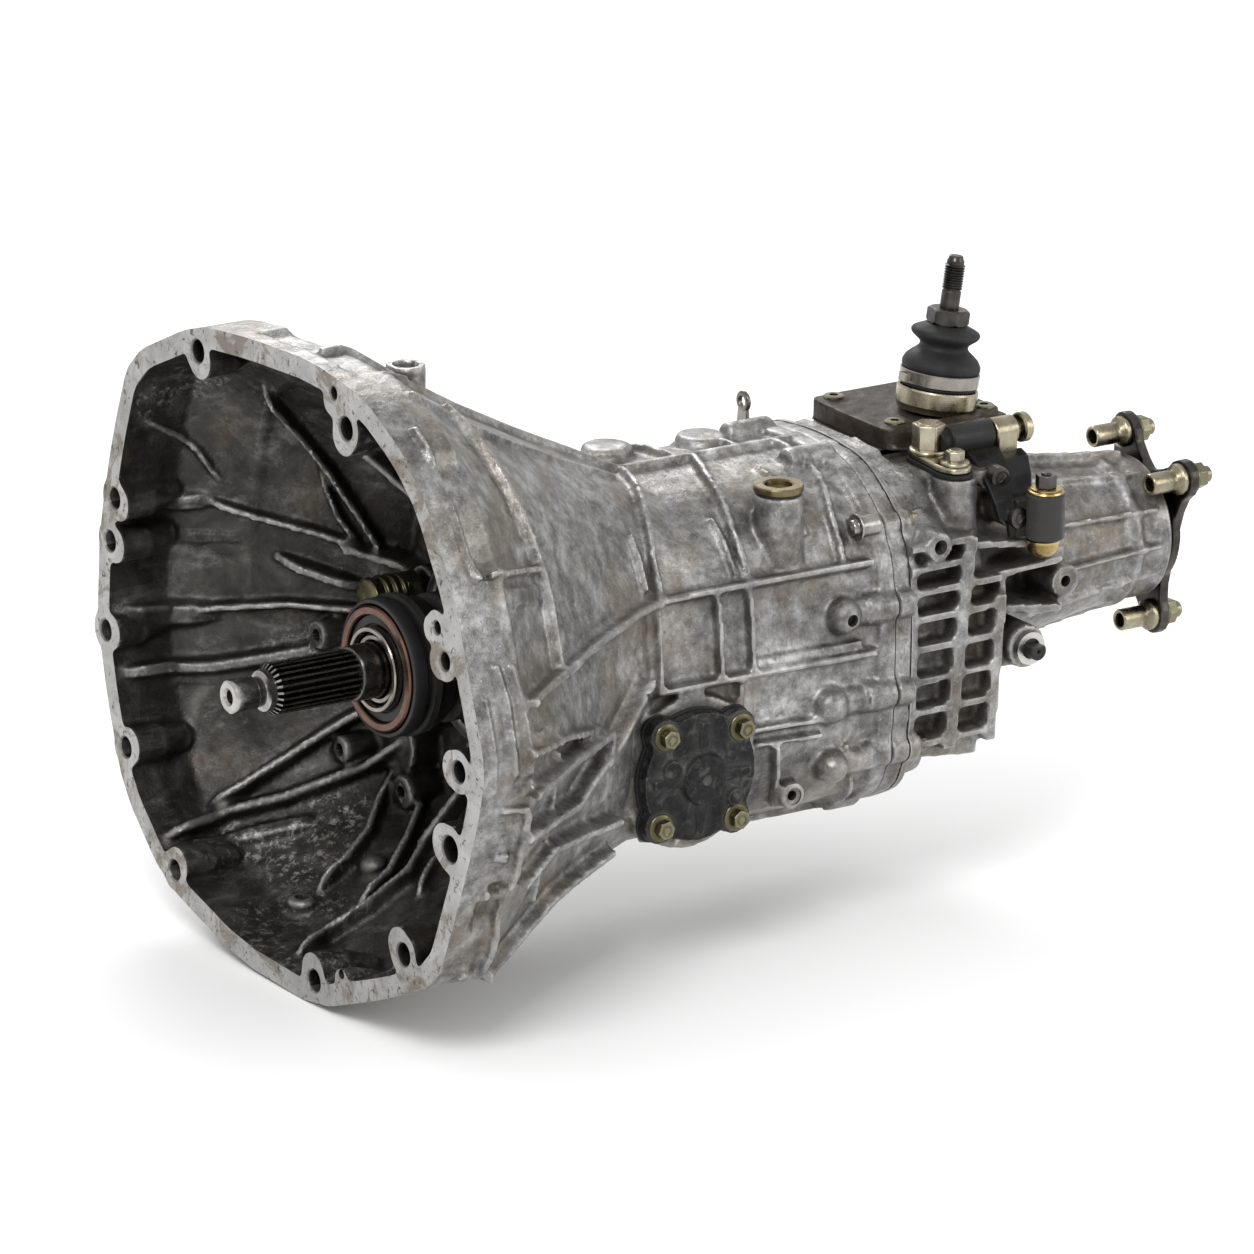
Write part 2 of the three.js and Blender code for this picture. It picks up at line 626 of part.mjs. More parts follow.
function buildFittings() {
  const bushTop = FILLER.top + 5;
  const bush = join(
    bar("z", FILLER.top + GAP, bushTop, FILLER.x, FILLER.y, 14.5),
    bar("z", FILLER.top - 14, FILLER.top + 1, FILLER.x, FILLER.y, FILLER.bore - GAP),
  );
  add("filler_bush", cut(bush, bar("z", 60, 110, FILLER.x, FILLER.y, 6.2, 16)), BRASS);

  const plateOutline = [[396, -50], [399, -62], [412, -64], [426, -58], [427, -48], [412, -43], [399, -44]];
  const boltHead = bar("z", 84 - GAP, 90, 418, -54, 6.5, 12);
  add("gate_retainer_plate", join(flatPlate(plateOutline, 80 + GAP, 84), boltHead), ZINC);

  const housing = turned(
    [
      [383, 0], [383, 6.5], [424, 6.5], [424, 5], [429, 5], [429, 8], [440, 8],
      [440, 4], [446, 4], [446, 6.5], [450, 6.5], [450, 0],
    ],
    20,
  );
  add("return_spring_housing", housing.translate([0, -50, 100.5]), DARK_STEEL);

  const arm = sidePlate(
    [[418, 92], [424, 104], [436, 104], [440, 88], [452, 74], [454, 40], [446, 40], [434, 46], [420, 74]],
    -90,
    -84 - GAP,
  );
  const barrel = bar("z", 34, 66, 460, -96, 10);
  const bracket = cut(join(arm, barrel), bar("z", 30, 70, 460, -96, 4.5, 12));
  add("steady_bracket", bracket, BLACK_PAINT);
}

function buildControlCover() {
  const outline = [
    [406, -40], [478, -40], [482, -34], [482, 36], [478, 42], [406, 42], [400, 36], [400, -34],
  ];
  const cover = join(flatPlate(outline, 80 + GAP, LEVER_Z - GAP), block(384, 409, -57, -38, 86, 93));
  add("control_cover", cut(cover, bar("z", 70, 100, LEVER_X - 1, 0, 16, 24)), DARK_IRON);
}

// ---------------------------------------------------------------- selector rails and gear lever

function buildRails() {
  for (const [gate, x] of Object.entries(SLEEVES)) {
    const y = RAIL_Y[gate];
    const rail = bar("x", RAIL_FRONT[gate], 432, y, RAIL_Z, RAIL_RADIUS, 16);
    const yoke = slab(circlePoints(43, 24), x - 3, x + 3).subtract(rod(x - 4, x + 4, 33.5));
    const halfYoke = yoke.subtract(block(x - 4, x + 4, -50, 50, -50, -14));
    const arm = block(x - 3, x + 3, y - 7, y + 7, 34.5, RAIL_Z);
    const collar = bar("x", x - 8, x + 8, y, RAIL_Z, 8, 12);
    const gateBlock = block(430, 454, y - 9, y + 9, 48, 69);
    const slot = block(435.5, 448.5, y - 10, y + 10, 54, 80);
    const piece = cut(join(rail, halfYoke, arm, collar, gateBlock), slot);
    add(`shift_fork_${gate}`, piece, gate === "3_4" ? BRONZE : DARK_STEEL);
  }
}

function buildLever() {
  const turret = new THREE.Group();
  turret.position.set(LEVER_X, 0, LEVER_Z);
  turret.rotation.y = (LEVER_TILT * Math.PI) / 180;
  inner.add(turret);
  const upright = (profile, segments = 20) => turned(profile, segments).rotate([0, -90, 0]);

  // A collar in front and behind of the tilt would dip into the cover, so its foot is cut level by a rise.
  const foot = 24 * Math.sin((LEVER_TILT * Math.PI) / 180) + GAP;
  const uprightRing = (low, high, outer, bore) => {
    return upright([[low, bore], [low, outer], [high, outer], [high, bore], [low, bore]]);
  };
  add("turret_collar", uprightRing(foot, foot + 10, 24, 12.4), ZINC, turret);
  const band = foot + 13;
  add("boot_clamp_band", uprightRing(band, band + 8, 23.6, 22.3), STEEL, turret);
  const boot = upright([
    [foot + 10 + GAP, 14], [foot + 10 + GAP, 22], [band + 9, 22], [band + 12, 21], [band + 16, 17],
    [band + 17, 14], [foot + 10 + GAP, 14],
  ]);
  add("gear_lever_boot", boot, RUBBER, turret);

  const ball = upright([
    [PIVOT_UP - 7, 8.2], [PIVOT_UP - 7, 9.7], [PIVOT_UP - 4, 11.3], [PIVOT_UP, 12], [PIVOT_UP + 4, 11.3],
    [PIVOT_UP + 7, 9.7], [PIVOT_UP + 7, 8.2], [PIVOT_UP - 7, 8.2],
  ]);
  add("pivot_ball", ball, STEEL, turret);
  const lever = upright([
    [-35, 0], [-34, 2.6], [-31, 3.6], [-22, 3.6], [-18, 5.5], [-6, 5.8], [72, 5.8],
    [72, 5], [90, 5], [91.5, 4], [91.5, 0],
  ], 12);
  add("shift_lever", lever, DARK_STEEL, turret);
  const lip = upright([
    [41, 6.2], [41, 12], [45, 12.5], [46, 17], [47.5, 20], [49.5, 20], [50.5, 16], [51, 10],
    [51, 6.2], [41, 6.2],
  ]);
  add("boot_lip", lip, RUBBER, turret);
  const nut = flatPlate(hexagon(22), 51.5, 60);
  add("lever_nut", cut(nut, bar("z", 50, 62, 0, 0, 6.2, 16)), DARK_STEEL, turret);
}

// ---------------------------------------------------------------- output flange

function buildOutputFlange() {
  const armAngles = [73, 137, 253, 317].map((degrees) => (degrees * Math.PI) / 180);
  const bolts = armAngles.map((angle) => [55 * Math.cos(angle), 55 * Math.sin(angle)]);
  const arms = bolts.map(([y, z]) => {
    const along = [y / 55, z / 55];
    const side = [-along[1], along[0]];
    const halfArm = [[10, 24], [36, 17], [55, 12], [63, 9]];
    const points = [...halfArm.map(([a, b]) => [a, -b]), [67, 0], ...halfArm.reverse()];
    return slab(points.map(([a, b]) => [a * along[0] + b * side[0], a * along[1] + b * side[1]]), 597, 604);
  });
  const hub = turned(
    [
      [592.6, 0], [592.6, 26], [595, 37], [601, 37], [604, 30], [604, 26], [608, 26], [608, 19.5],
      [604, 19.5], [604, 0],
    ],
    28,
  );
  const holes = bolts.map(([y, z]) => bar("x", 590, 612, y, z, 5.4, 14));
  add("output_flange", cut(join(hub, arms), rod(590, 612, 12.3), holes), DARK_STEEL);
  add("flange_nut", cut(slab(hexagon(30), 604 + GAP, 614), rod(600, 620, 10.3, 16)), STEEL);
  bolts.forEach(([y, z], i) => {
    const bolt = join(
      bar("x", 574, 597 - GAP, y, z, 6.5, 16),
      bar("x", 596, 618, y, z, 5, 14),
      slab(moved(hexagon(15), y, z), 604 + GAP, 612),
    );
    add(`flange_bolt_${i + 1}`, bolt, ZINC);
  });
}

function buildSpeedoPinion() {
  const teeth = 10;
  const outline = splineOutline(teeth, 6, 4.6);
  const pinion = sidePlate(moved(outline, SPEEDO.x, SPEEDO.z), -9, 9);
  const shaft = bar("y", -108, -8, SPEEDO.x, SPEEDO.z, 5.5, 16);
  const flat = block(SPEEDO.x - 7, SPEEDO.x + 7, -110, -99, SPEEDO.z + 3, SPEEDO.z + 8);
  add("speedo_pinion", cut(join(pinion, shaft), flat), BLACK_PAINT);
}

buildFrontCase();
buildAdapterPlate();
buildExtension();
buildBearings();
buildClutchRelease();
buildInputShaft();
buildMainshaft();
buildGearTrain();
buildRails();
buildSideCover();
buildFittings();
buildControlCover();
buildLever();
buildSpeedoPinion();
buildOutputFlange();

// The origin is the middle of the object's footprint, at its lowest point.
const transmission = new THREE.Group();
transmission.add(inner);
inner.updateMatrixWorld(true);
const bounds = new THREE.Box3().setFromObject(inner, true);
const centre = bounds.getCenter(new THREE.Vector3());
inner.position.set(-centre.x, -centre.y, -bounds.min.z);

export default transmission;
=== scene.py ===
"""A five-speed manual transmission with an open clutch bell: the looks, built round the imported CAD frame."""

import json
import math

import bmesh
import bpy
from mathutils import Matrix, Vector, noise
from mathutils.bvhtree import BVHTree


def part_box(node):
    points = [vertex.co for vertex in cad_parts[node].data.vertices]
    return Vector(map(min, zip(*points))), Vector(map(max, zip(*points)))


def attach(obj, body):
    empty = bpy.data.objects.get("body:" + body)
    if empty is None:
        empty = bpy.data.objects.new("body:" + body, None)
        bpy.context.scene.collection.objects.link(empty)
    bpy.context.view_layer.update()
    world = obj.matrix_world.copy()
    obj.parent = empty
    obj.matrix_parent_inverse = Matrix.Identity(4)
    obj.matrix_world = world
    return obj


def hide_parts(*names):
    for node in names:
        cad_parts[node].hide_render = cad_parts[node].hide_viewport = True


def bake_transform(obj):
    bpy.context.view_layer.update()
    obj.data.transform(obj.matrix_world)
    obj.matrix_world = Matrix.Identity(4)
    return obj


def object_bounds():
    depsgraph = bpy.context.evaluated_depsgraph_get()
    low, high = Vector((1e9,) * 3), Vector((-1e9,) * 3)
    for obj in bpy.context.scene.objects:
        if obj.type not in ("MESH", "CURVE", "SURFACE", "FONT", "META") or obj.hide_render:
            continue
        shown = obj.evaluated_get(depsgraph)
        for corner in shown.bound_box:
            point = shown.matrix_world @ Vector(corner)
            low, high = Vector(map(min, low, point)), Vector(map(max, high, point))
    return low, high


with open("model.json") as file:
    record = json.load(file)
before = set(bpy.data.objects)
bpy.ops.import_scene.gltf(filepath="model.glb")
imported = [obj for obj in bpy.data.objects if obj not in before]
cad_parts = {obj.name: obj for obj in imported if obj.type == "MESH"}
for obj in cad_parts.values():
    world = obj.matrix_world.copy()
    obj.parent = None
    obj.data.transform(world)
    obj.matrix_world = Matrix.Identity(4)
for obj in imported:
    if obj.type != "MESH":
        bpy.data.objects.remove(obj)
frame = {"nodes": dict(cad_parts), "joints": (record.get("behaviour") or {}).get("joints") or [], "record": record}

CAD_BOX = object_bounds()
MM = 0.001
JOINTS = {joint["name"]: joint for joint in frame["joints"]}
SHAFT = Vector(JOINTS["output_spin"]["pos_m"])
BELL_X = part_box("front_case")[0].x
RIM_DEPTH = 33
RIM_STEP = 5
BULKHEAD = 148
BELL_END = 186
HUMP_END = 222
CASE_END = 350
PLATE_END = 362
BOX_END = 455
TAIL_START = 474
TAIL_END = 590
TAIL_RADIUS = 40
RING = 168

# Outlines as (y, z) in millimetres from the main shaft, as the CAD model has them.
RIM = [
    (40, 193), (95, 187), (167, 152), (186, 98), (200, 40), (203, -15), (192, -61), (174, -111),
    (130, -153), (49, -177), (-36, -180), (-104, -154), (-159, -128), (-181, -72), (-197, -27),
    (-205, 9), (-188, 56), (-173, 97), (-143, 146), (-118, 168), (-80, 188), (-26, 196),
]
LOW_SIDE = [(-94, 0), (-94, -62), (-84, -96), (-48, -114), (0, -122)]
CASE_HALF = [(0, 90), (-45, 86), (-74, 66), (-90, 40)] + LOW_SIDE
NECK_HALF = [(0, 108), (-48, 101), (-77, 74), (-91, 42)] + LOW_SIDE
BOX_HALF = [(0, 80), (-52, 77), (-76, 60), (-86, 30), (-90, -15), (-90, -70), (-62, -98), (0, -116)]
RIM_HOLES = [
    (93, 172, 6.5), (184, 62, 6), (189, 35, 6), (194, -20, 6), (172, -85, 6),
    (118, -144, 6), (-32, -165, 6.5), (-124, -121, 6.5), (-170, -46, 7.5), (-178, 1, 6),
    (-163, 60, 5), (-155, 77, 3.5), (-62, 166, 6.5), (-49, 183, 3.5),
]


# ---------------------------------------------------------------- places and outlines


def at(x, y, z):
    """A point given in millimetres from the bell face and the main shaft, in the row frame."""
    return Vector((BELL_X + x * MM, SHAFT.y + y * MM, SHAFT.z + z * MM))


def mirrored(half):
    return half + [(-y, z) for y, z in reversed(half) if y != 0]


def softened(outline, rounds=2):
    """Cuts an outline's corners, which rounds them."""
    for _ in range(rounds):
        cut = []
        for (y0, z0), (y1, z1) in zip(outline, outline[1:] + outline[:1]):
            cut.append((0.82 * y0 + 0.18 * y1, 0.82 * z0 + 0.18 * z1))
            cut.append((0.18 * y0 + 0.82 * y1, 0.18 * z0 + 0.82 * z1))
        outline = cut
    return outline


def reach(outline, angle):
    """Distance from the shaft to an outline in one direction."""
    dy, dz = math.cos(angle), math.sin(angle)
    best = 0.0
    for (y0, z0), (y1, z1) in zip(outline, outline[1:] + outline[:1]):
        ey, ez = y1 - y0, z1 - z0
        cross = dy * ez - dz * ey
        if abs(cross) < 1e-9:
            continue
        along = (y0 * ez - z0 * ey) / cross
        part = (y0 * dz - z0 * dy) / cross
        if along > 0 and -1e-6 <= part <= 1 + 1e-6:
            best = max(best, along)
    return best


def radii(outline, inset=0.0):
    return [reach(outline, 2 * math.pi * i / RING) - inset for i in range(RING)]


def mixed(first, second, share):
    return [a + (b - a) * share for a, b in zip(first, second)]


def inset_by(section, amount):
    return [radius - amount for radius in section]


def circle_section(radius):
    return [radius] * RING


# ---------------------------------------------------------------- mesh helpers


class Solid:
    """Collects closed pieces in one mesh, in millimetres from the bell face and the main shaft."""

    def __init__(self):
        self.mesh = bmesh.new()

    def _faces(self, rings, closed_ends=True):
        made = []
        count = len(rings[0])
        for ring, following in zip(rings, rings[1:]):
            for i in range(count):
                j = (i + 1) % count
                made.append(self.mesh.faces.new((ring[i], ring[j], following[j], following[i])))
        if closed_ends:
            made.append(self.mesh.faces.new(list(reversed(rings[0]))))
            made.append(self.mesh.faces.new(rings[-1]))
        return made

    def rings(self, point_rings):
        """A closed skin through rings of points, with flat ends."""
        rings = [[self.mesh.verts.new(at(*point)) for point in ring] for ring in point_rings]
        faces = self._faces(rings)
        bmesh.ops.recalc_face_normals(self.mesh, faces=faces)
        return self

    def loft(self, sections):
        """A skin through sections of radii round the shaft, each at its station."""
        rings = []
        for x, section in sections:
            steps = [(radius, 2 * math.pi * i / RING) for i, radius in enumerate(section)]
            rings.append([(x, r * math.cos(a), r * math.sin(a)) for r, a in steps])
        return self.rings(rings)

    def turned(self, profile, place=(0, 0, 0), axis="x", segments=64, tilt=None):
        """A turned piece: (station, radius) pairs along an axis through place. Closed on itself if it can be."""
        closed = profile[0] == profile[-1]
        stations = profile[:-1] if closed else profile
        rings = []
        for along, radius in stations:
            ring = []
            for i in range(segments):
                angle = 2 * math.pi * i / segments
                a, b = radius * math.cos(angle), radius * math.sin(angle)
                local = {"x": (along, a, b), "y": (b, along, a), "z": (a, b, along)}[axis]
                local = Vector(local)
                if tilt is not None:
                    local = tilt @ local
                ring.append(self.mesh.verts.new(at(*(Vector(place) + local))))
            rings.append(ring)
        if closed:
            faces = self._faces(rings + [rings[0]], closed_ends=False)
        else:
            faces = self._faces(rings)
        bmesh.ops.recalc_face_normals(self.mesh, faces=faces)
        return self

    def bar(self, axis, start, end, place, radius, segments=32, chamfer=0.0):
        """A round bar from start to end along an axis through place."""
        profile = [(start, radius), (end, radius)]
        if chamfer:
            profile = [
                (start, radius - chamfer), (start + chamfer, radius),
                (end - chamfer, radius), (end, radius - chamfer),
            ]
        return self.turned(profile, place, axis, segments)

    def prism(self, outline, axis, start, end, place=(0, 0, 0), tilt=None):
        """An outline across an axis, as (y, z), (x, z) or (x, y), from start to end along it."""
        rings = []
        for along in (start, end):
            ring = []
            for a, b in outline:
                local = {"x": (along, a, b), "y": (a, along, b), "z": (a, b, along)}[axis]
                local = Vector(local)
                if tilt is not None:
                    local = tilt @ local
                ring.append(tuple(Vector(place) + local))
            rings.append(ring)
        return self.rings(rings)

    def block(self, low, high):
        x0, y0, z0 = low
        x1, y1, z1 = high
        return self.prism([(y0, z0), (y1, z0), (y1, z1), (y0, z1)], "x", x0, x1)

    def ridge(self, points, normals, width, height, depth=5.0, top=0.62):
        """A rib along points on a surface, standing up along the normals."""
        rings = []
        last = len(points) - 1
        for i, (point, normal) in enumerate(zip(points, normals)):
            run = Vector(points[min(i + 1, last)]) - Vector(points[max(i - 1, 0)])
            side = run.cross(normal).normalized() * (width / 2)
            foot = Vector(point) - normal * depth
            crest = Vector(point) + normal * height
            rings.append([tuple(p) for p in (foot - side, foot + side, crest + side * top, crest - side * top)])
        return self.rings(rings)

    def finish(self, name, materials, angle=35):
        """Makes the object. Edges sharper than the angle stay sharp."""
        mesh = bpy.data.meshes.new(name)
        limit = math.radians(angle)
        for face in self.mesh.faces:
            face.smooth = True
        for edge in self.mesh.edges:
            edge.smooth = len(edge.link_faces) == 2 and edge.calc_face_angle(0.0) < limit
        self.mesh.to_mesh(mesh)
        self.mesh.free()
        piece = bpy.data.objects.new(name, mesh)
        bpy.context.scene.collection.objects.link(piece)
        for material in materials if isinstance(materials, (list, tuple)) else [materials]:
            mesh.materials.append(material)
        return piece


def apply_modifiers(piece):
    bpy.context.view_layer.update()
    evaluated = piece.evaluated_get(bpy.context.evaluated_depsgraph_get())
    mesh = bpy.data.meshes.new_from_object(evaluated)
    piece.modifiers.clear()
    old = piece.data
    piece.data = mesh
    bpy.data.meshes.remove(old)


def soften_edges(piece, width, segments=2):
    bevel = piece.modifiers.new("bevel", "BEVEL")
    bevel.width = width * MM
    bevel.segments = segments
    bevel.limit_method = "ANGLE"
    bevel.angle_limit = math.radians(40)
    bevel.harden_normals = False
    return piece


def combine(piece, tool, operation):
    """Joins or cuts a piece with a tool, which is then removed."""
    change = piece.modifiers.new("combine", "BOOLEAN")
    change.operation = operation
    change.solver = "MANIFOLD"
    change.object = tool
    apply_modifiers(piece)
    bpy.data.objects.remove(tool)


def cast(piece, voxel, smoothing):
    """Melts joined solids into one casting with filleted corners."""
    remesh = piece.modifiers.new("remesh", "REMESH")
    remesh.mode = "VOXEL"
    remesh.voxel_size = voxel * MM
    remesh.use_smooth_shade = True
    smooth = piece.modifiers.new("smooth", "SMOOTH")
    smooth.factor = 0.5
    smooth.iterations = smoothing
    apply_modifiers(piece)


def sharpen(piece, angle=38):
    """Marks the hard edges of a cut casting, so that the rest is shaded smooth."""
    mesh = bmesh.new()
    mesh.from_mesh(piece.data)
    limit = math.radians(angle)
    for face in mesh.faces:
        face.smooth = True
    for edge in mesh.edges:
        edge.smooth = len(edge.link_faces) == 2 and edge.calc_face_angle(0.0) < limit
    mesh.to_mesh(piece.data)
    mesh.free()


def place(piece, body, slot, *replaced):
    """The piece rides on a body and stands for CAD nodes, which it hides. The slot is not used."""
    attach(piece, body)
    if replaced:
        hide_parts(*replaced)
    return piece


def hexagon(across, y=0.0, z=0.0, turn=0.0):
    radius = across / math.sqrt(3)
    corners = [math.radians(60 * i) + turn for i in range(6)]
    return [(y + radius * math.cos(a), z + radius * math.sin(a)) for a in corners]


def circle(radius, y=0.0, z=0.0, count=40):
    steps = [2 * math.pi * i / count for i in range(count)]
    return [(y + radius * math.cos(a), z + radius * math.sin(a)) for a in steps]


# ---------------------------------------------------------------- materials


class Nodes:
    """A material's node tree, with short calls for the nodes that the materials share."""

    def __init__(self, name):
        self.material = bpy.data.materials.new(name)
        self.material.use_nodes = True
        self.tree = self.material.node_tree
        self.shader = self.tree.nodes["Principled BSDF"]
        self.where = self.tree.nodes.new("ShaderNodeTexCoord").outputs["Object"]

    def link(self, source, target):
        self.tree.links.new(source, target)

    def noise(self, scale, detail=5.0, roughness=0.55, stretch=None, distortion=0.0):
        node = self.tree.nodes.new("ShaderNodeTexNoise")
        node.inputs["Scale"].default_value = scale
        node.inputs["Detail"].default_value = detail
        node.inputs["Roughness"].default_value = roughness
        node.inputs["Distortion"].default_value = distortion
        vector = self.where
        if stretch:
            mapping = self.tree.nodes.new("ShaderNodeMapping")
            mapping.inputs["Scale"].default_value = stretch
            self.link(vector, mapping.inputs["Vector"])
            vector = mapping.outputs["Vector"]
        self.link(vector, node.inputs["Vector"])
        return node.outputs["Fac"]

    def ramp(self, source, stops):
        node = self.tree.nodes.new("ShaderNodeValToRGB")
        elements = node.color_ramp.elements
        while len(elements) < len(stops):
            elements.new(0.5)
        for element, (position, colour) in zip(elements, stops):
            element.position = position
            element.color = colour if len(colour) == 4 else (*colour, 1.0)
        self.link(source, node.inputs["Fac"])
        return node.outputs["Color"]

    def mask(self, source, low, high):
        """0 below low and 1 above high."""
        return self.ramp(source, [(low, (0, 0, 0)), (high, (1, 1, 1))])

    def mix(self, first, second, factor, blend="MIX"):
        node = self.tree.nodes.new("ShaderNodeMix")
        node.data_type = "RGBA"
        node.blend_type = blend
        for socket, value in ((node.inputs[6], first), (node.inputs[7], second), (node.inputs[0], factor)):
            if isinstance(value, tuple):
                socket.default_value = (*value, 1.0)
            elif isinstance(value, float):
                socket.default_value = value
            else:
                self.link(value, socket)
        return node.outputs[2]

    def times(self, first, second):
        node = self.tree.nodes.new("ShaderNodeMath")
        node.operation = "MULTIPLY"
        for socket, value in zip(node.inputs, (first, second)):
            if isinstance(value, float):
                socket.default_value = value
            else:
                self.link(value, socket)
        return node.outputs[0]

    def recess(self, distance):
        """1 in corners and hollows, 0 on open faces."""
        node = self.tree.nodes.new("ShaderNodeAmbientOcclusion")
        node.samples = 6
        node.inputs["Distance"].default_value = distance
        return self.ramp(node.outputs["AO"], [(0.35, (1, 1, 1)), (0.92, (0, 0, 0))])

    def edge(self, low=0.505, high=0.56):
        node = self.tree.nodes.new("ShaderNodeNewGeometry")
        return self.mask(node.outputs["Pointiness"], low, high)

    def bump(self, layers):
        """Bumps from (height, strength, distance) layers, one on the other."""
        normal = None
        for height, strength, distance in layers:
            node = self.tree.nodes.new("ShaderNodeBump")
            node.inputs["Strength"].default_value = strength
            node.inputs["Distance"].default_value = distance
            self.link(height, node.inputs["Height"])
            if normal is not None:
                self.link(normal, node.inputs["Normal"])
            normal = node.outputs["Normal"]
        self.link(normal, self.shader.inputs["Normal"])

    def finish(self, colour, roughness, metallic):
        self.link(colour, self.shader.inputs["Base Color"])
        if isinstance(roughness, float):
            self.shader.inputs["Roughness"].default_value = roughness
        else:
            self.link(roughness, self.shader.inputs["Roughness"])
        self.shader.inputs["Metallic"].default_value = metallic
        return self.material


def grey(value):
    return (value, value, value)


def cast_aluminium():
    """Sand-cast aluminium, weathered: mottled grey, with dark brown soiling and painted shade in the corners, and
    rubbed bright edges.
    """
    n = Nodes("cast_aluminium")
    mottle = n.ramp(n.noise(85, 8, 0.72), [(0.35, (0.12, 0.117, 0.111)), (0.5, (0.26, 0.257, 0.25)), (0.65, (0.45, 0.45, 0.445))])
    clouds = n.ramp(n.noise(13, 5, 0.6, distortion=0.5), [(0.35, grey(0.55)), (0.65, grey(1.15))])
    clouded = n.mix(mottle, clouds, 1.0, "MULTIPLY")
    patches = n.mask(n.noise(17, 6, 0.65, distortion=0.8), 0.48, 0.62)
    warm = n.mix(clouded, (0.20, 0.158, 0.112), n.times(patches, 0.45))
    flecks = n.mask(n.noise(300, 5, 0.75), 0.60, 0.68)
    pitted = n.mix(warm, (0.055, 0.046, 0.038), n.times(flecks, 0.6))
    glints = n.mask(n.noise(520, 3, 0.7), 0.62, 0.68)
    flecked = n.mix(pitted, (0.60, 0.60, 0.59), n.times(glints, 0.35))
    streaks = n.mask(n.noise(46, 7, 0.7, stretch=(1, 1, 0.4), distortion=1.4), 0.55, 0.68)
    stained = n.mix(flecked, (0.10, 0.078, 0.055), n.times(streaks, 0.55))
    # Corners and hollows turn a near-black brown from an occlusion mask: partly brown soiling, partly painted shade.
    recess_grime_and_shade = n.times(n.recess(0.014), n.ramp(n.noise(95, 6, 0.65), [(0.3, grey(0.5)), (0.6, grey(1.0))]))
    grimy_and_shaded = n.mix(stained, (0.045, 0.034, 0.024), n.times(recess_grime_and_shade, 0.95))
    bright = n.mix(grimy_and_shaded, (0.62, 0.61, 0.595), n.times(n.edge(0.522, 0.60), 0.6))
    rough = n.ramp(n.noise(120, 6, 0.65), [(0.3, grey(0.24)), (0.7, grey(0.48))])
    rough = n.mix(rough, grey(0.72), recess_grime_and_shade)
    n.bump([(n.noise(190, 6, 0.65), 0.5, 0.0012), (n.noise(1000, 4, 0.65), 0.45, 0.0003), (n.noise(34, 3), 0.45, 0.003)])
    return n.finish(bright, rough, 0.80)


def bell_interior():
    """The inside of the bell: dark clutch dust over aluminium, with pale oxide patches, pale streaks of painted sheen
    along the shaft and painted shade in its corners and hollows.
    """
    n = Nodes("bell_interior")
    base = n.ramp(n.noise(34, 8, 0.68, distortion=0.8), [(0.32, (0.020, 0.018, 0.016)), (0.55, (0.060, 0.056, 0.050)), (0.78, (0.17, 0.164, 0.155))])
    # Pale streaks along the shaft: painted sheen, a painted highlight on the inner wall.
    streaks = n.mask(n.noise(52, 8, 0.75, stretch=(0.22, 1, 1)), 0.54, 0.68)
    wear_and_sheen = n.mix(base, (0.23, 0.225, 0.215), n.times(streaks, 0.5))
    oxide_zone = n.mask(n.noise(8, 2), 0.52, 0.62)
    oxide = n.times(n.mask(n.noise(190, 9, 0.78, distortion=0.3), 0.52, 0.60), oxide_zone)
    pale = n.mix(wear_and_sheen, (0.50, 0.50, 0.495), n.times(oxide, 0.7))
    rust = n.mask(n.noise(22, 6, 0.65), 0.58, 0.70)
    stained = n.mix(pale, (0.085, 0.060, 0.036), n.times(rust, 0.55))
    # Corners and hollows go near black from an occlusion mask: painted shade.
    dark = n.mix(stained, (0.010, 0.009, 0.008), n.times(n.recess(0.03), 0.85))
    bright = n.mix(dark, (0.46, 0.45, 0.435), n.times(n.edge(0.512, 0.56), 0.7))
    rough = n.ramp(n.noise(120, 5), [(0.3, grey(0.26)), (0.7, grey(0.55))])
    n.bump([(n.noise(120, 7, 0.68), 0.6, 0.0016), (n.noise(700, 4), 0.4, 0.0003), (n.noise(22, 3), 0.5, 0.004)])
    return n.finish(bright, rough, 0.70)


def machined_face():
    """The milled joint face: paler, with fine tool marks and stains."""
    n = Nodes("machined_face")
    base = n.ramp(n.noise(50, 7, 0.65), [(0.3, (0.27, 0.265, 0.255)), (0.7, (0.46, 0.455, 0.445))])
    stain = n.mask(n.noise(26, 8, 0.74, distortion=1.2), 0.52, 0.60)
    stained = n.mix(base, (0.15, 0.12, 0.085), n.times(stain, 0.75))
    nicks = n.mask(n.noise(230, 6, 0.75, distortion=0.6), 0.57, 0.62)
    marked = n.mix(stained, (0.055, 0.045, 0.034), n.times(nicks, 0.85))
    rough = n.ramp(n.noise(80, 5), [(0.3, grey(0.28)), (0.7, grey(0.48))])
    n.bump([(n.noise(240, 5, 0.6), 0.3, 0.0006), (n.noise(60, 3, stretch=(1, 1, 14)), 0.12, 0.0003)])
    return n.finish(marked, rough, 0.85)


